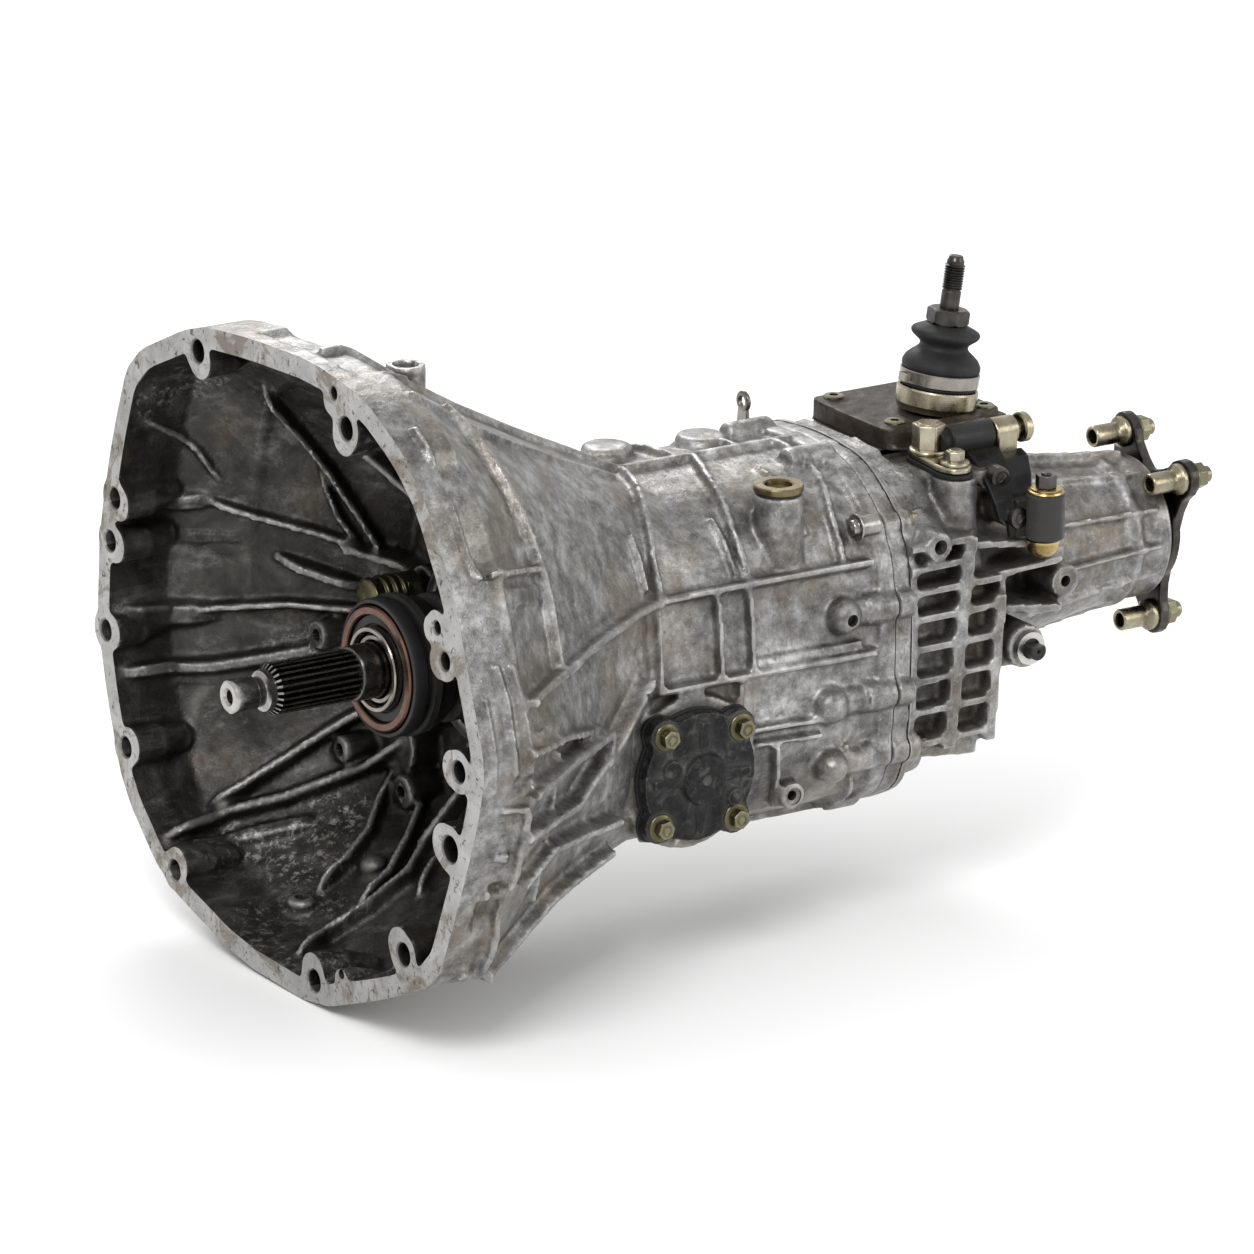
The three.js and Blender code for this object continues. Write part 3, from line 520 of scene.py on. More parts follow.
def metal(name, low, high, rough, grime_and_shade_colour=(0.05, 0.04, 0.03), grime_and_shade_share=0.8, edge=None, scale=90, metallic=1.0, grain=0.25):
    """A plain metal with mottling, a soiling colour in the corners that on the paler metals is also painted shade, and
    brighter rubbed edges.
    """
    n = Nodes(name)
    base = n.ramp(n.noise(scale, 6, 0.6), [(0.3, low), (0.7, high)])
    stain = n.mask(n.noise(scale * 0.35, 5, 0.65, distortion=0.7), 0.54, 0.68)
    stained = n.mix(base, grime_and_shade_colour, n.times(stain, 0.4 * grime_and_shade_share))
    # Corners and hollows take the soiling colour from an occlusion mask. Where it is darker than the metal, this is
    # painted shade as well as soiling. On the black finishes it is paler dust.
    recess_grime_and_shade = n.recess(0.006)
    dirty_and_shaded = n.mix(stained, grime_and_shade_colour, n.times(recess_grime_and_shade, grime_and_shade_share))
    wear_and_sheen = n.mix(dirty_and_shaded, edge or tuple(min(1.0, 1.6 * c + 0.05) for c in high), n.times(n.edge(0.53, 0.62), 0.6))
    roughness = n.ramp(n.noise(scale * 1.7, 5), [(0.3, grey(rough - 0.08)), (0.7, grey(rough + 0.12))])
    n.bump([(n.noise(scale * 4, 5, 0.6), grain, 0.0005), (n.noise(scale * 14, 2), grain, 0.00015)])
    if metallic < 0.5:
        n.shader.inputs["Specular IOR Level"].default_value = 0.12
    return n.finish(wear_and_sheen, roughness, metallic)


def rubber():
    n = Nodes("black_rubber")
    base = n.ramp(n.noise(60, 5), [(0.3, (0.008, 0.008, 0.0085)), (0.75, (0.022, 0.022, 0.0225))])
    dust = n.mask(n.noise(24, 6, 0.65), 0.56, 0.74)
    dusty = n.mix(base, (0.07, 0.066, 0.06), n.times(dust, 0.25))
    rough = n.ramp(n.noise(110, 4), [(0.3, grey(0.48)), (0.7, grey(0.68))])
    n.bump([(n.noise(500, 4), 0.2, 0.0003)])
    n.shader.inputs["Specular IOR Level"].default_value = 0.25
    return n.finish(dusty, rough, 0.0)


ALUMINIUM = cast_aluminium()
INTERIOR = bell_interior()
MACHINED = machined_face()
BRIGHT = metal("bright_steel", (0.22, 0.21, 0.195), (0.42, 0.41, 0.39), 0.26)
GROUND = metal("ground_steel", (0.26, 0.25, 0.235), (0.46, 0.45, 0.43), 0.20, grime_and_shade_share=0.35, grain=0.06)
DARK = metal("dark_steel", (0.035, 0.032, 0.029), (0.095, 0.088, 0.080), 0.33, grime_and_shade_colour=(0.02, 0.017, 0.014))
SPLINE = metal("spline_steel", (0.040, 0.037, 0.034), (0.11, 0.10, 0.092), 0.26, grime_and_shade_colour=(0.02, 0.018, 0.015), edge=(0.6, 0.58, 0.55))
ZINC = metal("zinc_plated", (0.15, 0.130, 0.085), (0.33, 0.295, 0.21), 0.28, grime_and_shade_colour=(0.045, 0.035, 0.018), scale=140)
CHAMPAGNE = metal("champagne_zinc", (0.24, 0.215, 0.15), (0.41, 0.375, 0.28), 0.26, grime_and_shade_colour=(0.10, 0.08, 0.05))
STEEL_BAND = metal("tarnished_steel", (0.08, 0.075, 0.066), (0.29, 0.27, 0.24), 0.22, grime_and_shade_colour=(0.05, 0.035, 0.02), scale=60)
DARK_ZINC = metal("olive_zinc", (0.075, 0.068, 0.034), (0.17, 0.155, 0.085), 0.30, grime_and_shade_colour=(0.02, 0.016, 0.01), edge=(0.45, 0.43, 0.33))
GOLD = metal("gold_zinc", (0.28, 0.20, 0.075), (0.48, 0.37, 0.17), 0.24, grime_and_shade_colour=(0.08, 0.05, 0.02))
STAINED_BLACK = metal("chipped_black", (0.009, 0.009, 0.0095), (0.026, 0.026, 0.026), 0.28, grime_and_shade_colour=(0.20, 0.195, 0.185), grime_and_shade_share=0.8, edge=(0.26, 0.25, 0.24), scale=260, metallic=0.35, grain=0.6)
IRON = metal("dark_iron", (0.016, 0.012, 0.010), (0.070, 0.054, 0.042), 0.44, grime_and_shade_colour=(0.10, 0.085, 0.07), grime_and_shade_share=0.6, metallic=0.35, grain=0.8)
BLACK = metal("black_paint", (0.006, 0.006, 0.0065), (0.016, 0.016, 0.0165), 0.32, grime_and_shade_colour=(0.035, 0.030, 0.022), grime_and_shade_share=0.5, edge=(0.12, 0.115, 0.11), metallic=0.0)
BRASS = metal("brass", (0.085, 0.068, 0.032), (0.19, 0.15, 0.075), 0.30, grime_and_shade_colour=(0.04, 0.03, 0.015))
BRONZE = metal("bronze", (0.075, 0.040, 0.029), (0.145, 0.080, 0.058), 0.30, grime_and_shade_colour=(0.035, 0.02, 0.014))
RUBBER = rubber()

SLOT_MATERIAL = {
    "cast_aluminium": ALUMINIUM, "dark_iron": IRON, "zinc_plated": ZINC, "bright_steel": BRIGHT,
    "dark_steel": DARK, "black_rubber": RUBBER, "black_paint": BLACK, "brass": BRASS, "bronze": BRONZE,
}


def finish_cad_nodes():
    """The CAD nodes that stay get a material from their record slot."""
    for entry in frame["record"]["subparts"]:
        node = frame["nodes"][entry["node"]]
        node.data.materials.clear()
        node.data.materials.append(SLOT_MATERIAL[entry["material_slot"]])


# ---------------------------------------------------------------- camera, floor and light

CAMERA_AZIMUTH = math.radians(34.4)
CAMERA_HEIGHT = math.radians(17.8)
CAMERA_ROLL = math.radians(0.9)
CAMERA_DISTANCE = 5028
CAMERA_RIGHT = 191.4
CAMERA_UP = -33.3
FOCAL_LENGTH = 258.4


def add_camera():
    back = Vector((
        -math.sin(CAMERA_AZIMUTH) * math.cos(CAMERA_HEIGHT),
        -math.cos(CAMERA_AZIMUTH) * math.cos(CAMERA_HEIGHT),
        math.sin(CAMERA_HEIGHT),
    ))
    level_right = Vector((math.cos(CAMERA_AZIMUTH), -math.sin(CAMERA_AZIMUTH), 0))
    level_up = back.cross(level_right)
    right = math.cos(CAMERA_ROLL) * level_right + math.sin(CAMERA_ROLL) * level_up
    up = back.cross(right)
    eye = right * CAMERA_RIGHT + up * -CAMERA_UP + back * CAMERA_DISTANCE
    camera = bpy.data.objects.new("camera", bpy.data.cameras.new("camera"))
    camera.data.lens = FOCAL_LENGTH
    camera.data.sensor_width = 36
    camera.data.clip_end = 30
    turn = Matrix((right, up, back)).transposed().to_4x4()
    camera.matrix_world = Matrix.Translation(at(*eye)) @ turn
    bpy.context.scene.collection.objects.link(camera)
    bpy.context.scene.camera = camera


def add_light(name, position, target, size, power):
    lamp = bpy.data.lights.new(name, "AREA")
    lamp.shape = "DISK"
    lamp.size = size
    lamp.energy = power
    light = bpy.data.objects.new(name, lamp)
    light.location = position
    light.rotation_euler = (Vector(target) - Vector(position)).to_track_quat("-Z", "Y").to_euler()
    bpy.context.scene.collection.objects.link(light)


def add_stage():
    bpy.context.scene.view_settings.view_transform = "Standard"
    world = bpy.data.worlds.new("studio")
    bpy.context.scene.world = world
    world.use_nodes = True
    background = world.node_tree.nodes["Background"]
    background.inputs["Color"].default_value = (1, 1, 1, 1)
    background.inputs["Strength"].default_value = 0.85
    mesh = bmesh.new()
    bmesh.ops.create_grid(mesh, x_segments=1, y_segments=1, size=12)
    data = bpy.data.meshes.new("floor")
    mesh.to_mesh(data)
    mesh.free()
    floor = bpy.data.objects.new("floor", data)
    floor.location.z = CAD_BOX[0].z
    pale = bpy.data.materials.new("floor")
    pale.use_nodes = True
    pale.node_tree.nodes["Principled BSDF"].inputs["Base Color"].default_value = (0.93, 0.93, 0.93, 1)
    pale.node_tree.nodes["Principled BSDF"].inputs["Roughness"].default_value = 0.9
    data.materials.append(pale)
    bpy.context.scene.collection.objects.link(floor)
    add_light("key", (-1.6, -1.4, 2.2), (-0.1, 0, 0.15), 1.2, 42)
    add_light("fill", (1.9, -1.9, 1.1), (0.1, 0, 0.15), 1.5, 16)
    add_light("rim", (0.8, 2.0, 1.8), (0, 0, 0.2), 1.2, 26)


# ---------------------------------------------------------------- castings


class Skin:
    """A casting's smooth surface, as sections of radii round the shaft at stations along it."""

    def __init__(self, sections, outward=1):
        self.sections = sections
        self.outward = outward

    def radius(self, x, angle):
        pairs = list(zip(self.sections, self.sections[1:]))
        (x0, first), (x1, second) = next((pair for pair in pairs if x <= pair[1][0]), pairs[-1])
        share = min(1.0, max(0.0, (x - x0) / (x1 - x0)))
        place = angle / (2 * math.pi) * RING % RING
        i = int(place) % RING
        j = (i + 1) % RING
        part = place - int(place)
        near = first[i] + (first[j] - first[i]) * part
        far = second[i] + (second[j] - second[i]) * part
        return near + (far - near) * share

    def point(self, x, angle):
        radius = self.radius(x, angle)
        return Vector((x, radius * math.cos(angle), radius * math.sin(angle)))

    def normal(self, x, angle):
        along = self.point(x + 2, angle) - self.point(x - 2, angle)
        around = self.point(x, angle + 0.03) - self.point(x, angle - 0.03)
        normal = around.cross(along).normalized()
        radial = Vector((0, math.cos(angle), math.sin(angle)))
        return normal if normal.dot(radial) * self.outward > 0 else -normal

    def rib(self, solid, stops, width, height, depth=5.0, top=0.62, fade=0.0):
        """A rib on the skin through stops, (x, y, z) points near it. Its ends sink by the fade's share of its height."""
        path = []
        for (xa, ya, za), (xb, yb, zb) in zip(stops, stops[1:]):
            start = math.atan2(za, ya)
            turn = (math.atan2(zb, yb) - start + math.pi) % (2 * math.pi) - math.pi
            length = math.dist((xa, ya, za), (xb, yb, zb))
            steps = max(2, round(length / 7))
            path += [(xa + (xb - xa) * i / steps, start + turn * i / steps) for i in range(steps)]
        path.append((stops[-1][0], math.atan2(stops[-1][2], stops[-1][1])))
        points = [self.point(x, angle) for x, angle in path]
        normals = [self.normal(x, angle) for x, angle in path]
        for i, sink in ((0, fade), (1, fade / 3), (-1, fade), (-2, fade / 3)):
            points[i] -= normals[i] * height * sink
        solid.ridge(points, normals, width, height, depth, top)


# Pads that stand on the bell's skirt: from and to, in degrees round the shaft.
SKIRT_PADS = [(146, 201), (208, 226), (236, 248), (284, 300), (318, 338), (352, 25), (58, 76), (104, 128)]


def skirt_section(rim, recess):
    section = []
    for i, radius in enumerate(rim):
        degrees = 360 * i / RING
        raised = any((degrees - start) % 360 <= (end - start) % 360 for start, end in SKIRT_PADS)
        section.append(radius if raised else radius - recess)
    return section


def front_case_skins():
    rim = radii(softened(RIM, 1))
    bell = inset_by(rim, RIM_STEP)
    neck = radii(softened(mirrored(NECK_HALF)))
    gearcase = radii(softened(mirrored(CASE_HALF)))
    skirt = skirt_section(rim, RIM_STEP)
    outside = [(-4, rim), (12, rim), (13.5, skirt), (RIM_DEPTH, skirt), (RIM_DEPTH + 1.5, bell)]
    for share in (0.25, 0.5, 0.75, 0.9):
        x = RIM_DEPTH + share * (BELL_END - RIM_DEPTH)
        outside.append((x, mixed(bell, neck, share + 0.05 * math.sin(math.pi * share))))
    outside += [(BELL_END, neck), (HUMP_END, gearcase), (CASE_END - 0.3, gearcase)]
    at_bulkhead = mixed(bell, neck, (BULKHEAD - RIM_DEPTH) / (BELL_END - RIM_DEPTH))
    inside = [(-9, inset_by(rim, 12.5)), (6, inset_by(rim, 12.5)), (16, inset_by(rim, 13)), (40, inset_by(bell, 8))]
    inside += [(BULKHEAD - 12, inset_by(at_bulkhead, 11)), (BULKHEAD, inset_by(at_bulkhead, 20))]
    return Skin(outside), Skin(inside, outward=-1), gearcase


def bell_ribs(skin, solid):
    """Hoops, the diagonal rib and the gussets on the outside of the bell."""
    skin.rib(solid, [(15, -107, 174), (16, -147, 139), (18, -169, 104)], 5, 4.5)
    skin.rib(solid, [(64, -60, 167), (69, -101, 144), (74, -123, 119), (78, -138, 92), (78, -160, 36)], 6, 6)
    skin.rib(solid, [(24, -168, 104), (80, -137, 93)], 5, 6)
    skin.rib(solid, [(32, -193, 38), (86, -153, 38), (141, -117, 42), (169, -99, 43), (192, -90, 43)], 7, 9)
    skin.rib(solid, [(30, -203, 13), (75, -170, 5), (118, -140, -6)], 6, 7)
    skin.rib(solid, [(30, -201, -7), (72, -168, -8), (122, -137, -10), (124, -133, -30)], 8, 12)
    skin.rib(solid, [(31, -194, -34), (93, -148, -43), (136, -125, -21), (170, -112, 4)], 8, 11)
    skin.rib(solid, [(38, -172, -68), (71, -157, -62), (147, -111, -73)], 7, 11)
    skin.rib(solid, [(33, -140, -125), (90, -128, -100), (150, -100, -92)], 7, 10)
    skin.rib(solid, [(66, -166, 0), (70, -158, -40), (72, -138, -95)], 5, 4)
    skin.rib(solid, [(20, -4, 190), (110, -2, 150), (BELL_END, 0, 112), (HUMP_END, 0, 92), (CASE_END, 0, 90)], 7, 5)
    skin.rib(solid, [(30, -80, 180), (90, -62, 150), (150, -42, 118), (200, -30, 98)], 5, 3.5)
    far_side = [[(66, 60, 167), (74, 123, 119), (78, 150, 60), (78, 158, 0), (74, 140, -70), (68, 80, -130)]]
    far_side += [[(33, 190, 30), (110, 140, 36), (192, 90, 40)], [(33, 180, -50), (110, 135, -48), (192, 94, -44)]]
    far_side += [[(33, 120, 170), (110, 92, 128), (200, 60, 84)], [(33, 100, -155), (110, 78, -128), (200, 50, -112)]]
    for stops in far_side + [[(33, -20, -176), (110, -12, -146), (210, 0, -120)]]:
        skin.rib(solid, stops, 6, 6)


def skirt_detail(skin, solid):
    """Ridges and raised frames on the near side of the bell's skirt."""
    skin.rib(solid, [(17, -187, 62), (20, -193, 43), (19, -202, 18), (20, -201, 2)], 5, 3)
    skin.rib(solid, [(7, -191, 46), (7, -202, 16), (7, -201, -6)], 3, 2)
    skin.rib(solid, [(27, -186, 60), (30, -194, 38), (30, -200, 2)], 5, 2)
    skin.rib(solid, [(12, -198, -16), (31, -198, -18)], 5, 5)
    skin.rib(solid, [(30, -197, -20), (31, -186, -60), (30, -180, -78)], 7, 6)
    skin.rib(solid, [(12, -182, -72), (31, -180, -76)], 8, 6)
    skin.rib(solid, [(30, -178, -80), (28, -164, -112), (26, -158, -126)], 7, 6)
    skin.rib(solid, [(12, -161, -122), (28, -158, -126)], 8, 6)
    skin.rib(solid, [(14, -190, -46), (24, -189, -48)], 8, 4)


def gearcase_ribs(skin, solid):
    for low, high in ((43, 0), (-8, 0)):
        skin.rib(solid, [(184, -90, low), (250, -90, low), (CASE_END - 14, -90, low - 1)], 6, 8)
    skin.rib(solid, [(250, -90, -2), (CASE_END - 22, -90, -3)], 4, 4)
    skin.rib(solid, [(222, -4, 92), (200, -55, 88), (190, -80, 64), (190, -90, 45)], 6, 6)
    skin.rib(solid, [(178, -77, 80), (180, -91, 50)], 4, 4)
    skin.rib(solid, [(273, -4, 90), (260, -38, 86), (252, -72, 66), (252, -90, 45)], 6, 6)
    skin.rib(solid, [(244, -62, 74), (245, -88, 46)], 4, 4)
    skin.rib(solid, [(331, -4, 88), (330, -30, 87), (326, -56, 78), (320, -72, 68), (318, -88, 45)], 6, 5)
    skin.rib(solid, [(300, -30, 87), (300, -60, 78), (300, -80, 62)], 4, 3)
    for x in (184, 228, 250):
        skin.rib(solid, [(x, -90, 40), (x + 1, -90, -8)], 5, 7)
    skin.rib(solid, [(243, -90, -10), (243, -90, -44)], 5, 6)
    skin.rib(solid, [(243, -90, -40), (303, -90, -42)], 5, 6)
    skin.rib(solid, [(246, -90, -49), (300, -90, -51)], 4, 5)
    skin.rib(solid, [(268, -90, -52), (272, -86, -92)], 5, 8)
    skin.rib(solid, [(214, -40, -116), (290, -46, -115), (340, -44, -116)], 6, 5)
    skin.rib(solid, [(318, -90, -60), (330, -84, -96), (332, -48, -114)], 5, 5)
    for low in (43, -8, -50):
        skin.rib(solid, [(192, 90, low), (CASE_END - 10, 90, low)], 6, 6)
    for x in (222, 264, 306):
        skin.rib(solid, [(x, 2, 90), (x, 60, 78), (x, 90, 43), (x, 92, -8), (x, 90, -50), (x, 50, -112)], 5, 5)


def gearcase_bosses(solid):
    solid.bar("y", -102, -60, (207, 0, -58), 45, 48)
    for x, z in side_cover_bolts():
        solid.bar("y", -102, -70, (x, 0, z), 11, 24)
    solid.turned([(20, 17), (40, 15.5), (54, 14.2), (88, 14)], (283, -75, 0), "z", 36)
    dome = [(-107, 0.5), (-106, 5), (-103, 8.5), (-98, 10.5), (-80, 11)]
    for x, z, size in ((314, 15, 1.0), (306, -37, 1.05), (308, -74, 0.9)):
        solid.turned([(y, radius * size) for y, radius in dome], (x, 0, z), "y", 32)
        solid.bar("x", x - 2, CASE_END - 2, (0, -92, z), 8.5 * size, 24)
    solid.bar("y", -100, -66, (280, 0, -86), 8, 28)
    for y, z in ((-78, 58), (-96, 16), (-97, -37), (-92, -74), (-60, -108), (78, 58), (97, 16), (97, -37), (60, -108)):
        solid.bar("x", 330, CASE_END - 0.3, (0, y * 0.985, z * 0.985), 9, 24)
    for y, z in ((-30, 89), (30, 89), (0, -119)):
        solid.bar("x", 318, CASE_END - 0.3, (0, y, z), 8, 24)
    solid.bar("z", 120, 171, (88, 14, 0), 11.5, 32)
    solid.turned([(80, 16), (92, 15), (94, 13)], (300, 28, 0), "z", 28)
    solid.turned([(80, 16), (93, 15), (95, 13)], (240, 36, 0), "z", 28)


# Folds and ribs on the bell's inside wall: width, height and the points that each runs through.
INNER_RIBS = [
    (20, 7, [(4, 172, 61), (41, 180, 55), (56, 170, 57)]),
    (9, 8, [(52, 172, 58), (77, 155, 50), (103, 138, 43), (119, 127, 37), (132, 118, 28)]),
    (26, 8, [(4, 182, -10), (43, 183, -14), (62, 170, -12)]),
    (9, 8, [(43, 183, -12), (70, 165, -8), (93, 148, -5), (132, 122, -7)]),
    (15, 9, [(4, 184, -44), (29, 181, -44), (58, 168, -44), (84, 151, -38), (130, 121, -26)]),
    (11, 12, [(38, 143, -122), (60, 136, -110), (85, 128, -94), (108, 122, -79), (132, 108, -62)]),
    (13, 9, [(4, 131, -126), (48, 135, -123), (77, 120, -116), (104, 108, -105), (126, 98, -96)]),
    (20, 5, [(4, 124, -133), (51, 120, -134), (85, 102, -128)]),
    (8, 10, [(64, 125, 136), (88, 128, 110), (107, 124, 83), (122, 121, 58), (132, 118, 38), (136, 116, 23)]),
    (7, 7, [(100, 126, 88), (113, 128, 54), (126, 122, 33)]),
    (12, 11, [(86, 152, 25), (99, 144, 19), (113, 134, 13), (128, 124, 8)]),
    (9, 4, [(9, 164, 110), (47, 168, 88), (60, 165, 68)]),
    (9, 10, [(136, 103, -85), (130, 92, -108), (118, 83, -117), (101, 68, -130), (83, 61, -140), (59, 58, -152)]),
    (9, 10, [(134, 66, -108), (131, 61, -120), (113, 45, -132), (92, 30, -143), (65, 24, -154)]),
    (9, 10, [(134, 44, -118), (126, 39, -128), (99, 20, -141), (69, 16, -153), (41, 18, -164), (14, 8, -162)]),
    (8, 8, [(130, 14, -128), (113, 16, -136), (91, 1, -146)]),
    (10, 6, [(14, -172, 92), (70, -150, 84), (132, -104, 62)]),
    (12, 7, [(14, -196, 14), (70, -160, 12), (132, -112, 10)]),
    (10, 6, [(14, -182, -60), (70, -150, -54), (132, -104, -46)]),
    (10, 6, [(14, -88, -150), (70, -72, -140), (132, -56, -118)]),
    (10, 6, [(14, -70, 178), (70, -58, 152), (132, -44, 116)]),
    (10, 6, [(14, 62, 172), (70, 52, 150), (132, 40, 116)]),
]


def bell_interior_detail(inner, solid):
    """Ribs along the bell's inside, and the bosses round the bearing on its bulkhead."""
    for width, height, stops in INNER_RIBS:
        inner.rib(solid, stops, width, height, 6, 0.35, 0.8)
    for degrees in range(15, 375, 30):
        angle = math.radians(degrees)
        direction = Vector((0, math.cos(angle), math.sin(angle)))
        points = [Vector((BULKHEAD - 2, 0, 0)) + direction * 56, Vector((BULKHEAD - 2, 0, 0)) + direction * 92]
        points.append(inner.point(BULKHEAD - 26, angle) - direction * 2)
        solid.ridge(points, [Vector((-1, 0, 0))] * 3, 9, 12, 4, 0.45)
    for y, z, radius, front in ((66, 18, 13, 134), (-40, 62, 11, 130), (52, -52, 11, 124), (-58, -50, 11, 124), (0, 78, 10, 130)):
        solid.bar("x", front, BULKHEAD + 4, (0, y, z), radius, 28)
    solid.turned([(128, 49.2), (128, 57), (136, 62), (150, 62), (150, 49.2), (128, 49.2)], segments=72)
    solid.bar("x", 98, BULKHEAD, (0, 122, -20), 8.5, 28)
    solid.bar("x", 104, BULKHEAD, (0, 106, -86), 8, 28)
    solid.bar("x", 128, BULKHEAD + 4, (0, 86, -80), 21, 40)
    solid.bar("x", 122, BULKHEAD + 4, (0, 68, -104), 10, 28)
    solid.turned([(-150, 11), (-140, 8.5), (-134, 7.5), (-131, 4), (-130.4, 1)], (90, 47, 0), "z", 28)
    solid.turned([(-170, 10), (-152.5, 9), (-151, 6)], (49, 58, 0), "z", 28)


def side_cover_bolts():
    turns = [math.radians(degrees) for degrees in (43, 131, 223, 311)]
    return [(207 + 37 * math.cos(a), -58 + 37 * math.sin(a)) for a in turns]


def paint_faces(piece, pick):
    """Gives each face the material index that pick says for its centre and normal, in mm from the shaft."""
    origin = at(0, 0, 0)
    for polygon in piece.data.polygons:
        polygon.material_index = pick((polygon.center - origin) / MM, polygon.normal)


def make_front_case():
    skin, inner, gearcase = front_case_skins()
    shell = Solid().loft(skin.sections).finish("front_casting", [ALUMINIUM, INTERIOR, MACHINED])
    core = Solid().loft(inner.sections).finish("core", ALUMINIUM)
    combine(shell, core, "DIFFERENCE")
    chamber = [(BULKHEAD + 18, inset_by(gearcase, 8)), (CASE_END + 4, inset_by(gearcase, 8))]
    combine(shell, Solid().loft(chamber).finish("core", ALUMINIUM), "DIFFERENCE")

    detail = Solid()
    bell_ribs(skin, detail)
    skirt_detail(skin, detail)
    gearcase_ribs(skin, detail)
    gearcase_bosses(detail)
    bell_interior_detail(inner, detail)
    flange = radii(softened(mirrored(CASE_HALF)), -4)
    detail.rings([[(x, r * math.cos(math.tau * i / RING), r * math.sin(math.tau * i / RING))
                   for i, r in enumerate(flange)] for x in (CASE_END - 10, CASE_END + 3)])
    for y, z, radius in RIM_HOLES:
        outward = Vector((0, y, z)).normalized()
        detail.turned([(-4, radius + 6.5), (20, radius + 6), (38, radius + 3), (48, 3)], (0, y, z), "x", 28)
        detail.turned([(-4, radius + 5), (18, radius + 4.5), (40, 3)], (0, y - 5 * outward.y, z - 5 * outward.z), "x", 28)
    detail.turned([(-4, 7), (10, 6.5), (24, 2)], (0, -61, -156), "x", 28)
    merge(shell, detail.finish("detail", ALUMINIUM))
    cast(shell, VOXEL, 2)

    face = 260
    faces = Solid().block((-30, -face, -face), (0, face, face))
    faces.block((CASE_END, -face, -face), (CASE_END + 30, face, face))
    faces.block((165, -140, -140), (249, -102, 0)).block((260, -100, 88), (306, -40, 110))
    faces.loft([(BULKHEAD + 19, inset_by(gearcase, 9)), (CASE_END - 0.1, inset_by(gearcase, 9))])
    combine(shell, faces.finish("faces", MACHINED), "DIFFERENCE")

    holes = Solid()
    for y, z, radius in RIM_HOLES:
        holes.turned([(-2, radius + 1.0), (0, radius + 1.0), (1, radius), (26, radius)], (0, y, z), "x", 40)
    holes.turned([(-2, 3), (3, 2.6), (5, 1)], (0, -61, -152), "x", 24)
    holes.turned([(110, 49), (BULKHEAD - 2, 49), (BULKHEAD - 1, 36), (172, 36)], segments=72)
    holes.bar("x", 118, 158, (0, 66, 18), 6.6, 28)
    for y, z, front in ((-40, 62, 130), (52, -52, 124), (-58, -50, 124), (0, 78, 130), (122, -20, 98), (106, -86, 104), (68, -104, 122)):
        holes.bar("x", front - 2, front + 14, (0, y, z), 4, 24)
    holes.bar("z", -168, -140, (49, 58, 0), 4.6, 24)
    holes.bar("y", -101.9, -80, (207, 0, -58), 20.5, 40)
    holes.bar("z", 60, 90, (283, -74, 0), 8.2, 32)
    holes.turned([(-110, 3.6), (-101, 3.6), (-98, 1)], (314, 0, 15), "y", 24)
    holes.turned([(-106, 5.5), (-99, 5), (-98, 3), (-84, 3)], (280, 0, -86), "y", 24)
    holes.turned([(150, 6.6), (169, 6.6), (172, 8.4)], (88, 14, 0), "z", 28)
    for x, z in side_cover_bolts():
        holes.bar("y", -101.9, -84, (x, 0, z), 3.4, 20)
    combine(shell, holes.finish("holes", MACHINED), "DIFFERENCE")

    def pick(where, normal):
        radius = math.hypot(where.y, where.z)
        angle = math.atan2(where.z, where.y)
        if where.x < 0.1 and normal.x < -0.9 or where.x > CASE_END - 0.1:
            return 2
        middle = (skin.radius(where.x, angle) + inner.radius(where.x, angle)) / 2
        if where.x < BULKHEAD + 4 and radius < middle:
            return 1
        return 0

    paint_faces(shell, pick)
    sharpen(shell)
    place(shell, "case", "cast_aluminium", "front_case")


def merge(piece, other):
    """Puts another object's mesh into a piece."""
    mesh = bmesh.new()
    mesh.from_mesh(piece.data)
    mesh.from_mesh(other.data)
    mesh.to_mesh(piece.data)
    mesh.free()
    bpy.data.objects.remove(other)


REAR_HALF = [(0, 80), (-44, 77), (-60, 60), (-66, 30), (-66, -15), (-65, -70), (-54, -100), (0, -115)]


def make_adapter_plate():
    outline = radii(softened(mirrored(CASE_HALF)), -4)
    plate = Solid().loft([(CASE_END + 0.3, outline), (PLATE_END - 0.3, outline)])
    for y, z in ((-78, 58), (-96, 16), (-97, -37), (-92, -74), (78, 58), (97, 16), (97, -37)):
        plate.bar("x", CASE_END + 0.3, PLATE_END - 0.3, (0, y * 0.985, z * 0.985), 9, 24)
    piece = plate.finish("adapter_plate_casting", [ALUMINIUM])
    cast(piece, 1.6, 2)
    holes = Solid().bar("x", 340, 370, (0, 0, 0), 35.4, 48).bar("x", 340, 370, (0, 0, -62.5), 23.4, 40)
    for y in (-22, 0, 22):
        holes.bar("x", 340, 370, (0, y, 62), 6.6, 32)
    combine(piece, holes.finish("holes", MACHINED), "DIFFERENCE")
    sharpen(piece)
    place(piece, "case", "cast_aluminium", "adapter_plate")


def extension_skin():
    box = radii(softened(mirrored(BOX_HALF)), 5)
    rear = radii(softened(mirrored(REAR_HALF)), 3)
    front = radii(softened(circle(54)))
    return Skin([
        (PLATE_END, box), (422, box), (434, mixed(box, rear, 0.6)), (BOX_END - 6, rear), (TAIL_START, mixed(rear, front, 0.9)),
        (TAIL_START + 8, front), (540, circle_section(TAIL_RADIUS + 5.5)), (TAIL_END, circle_section(TAIL_RADIUS)),
    ])


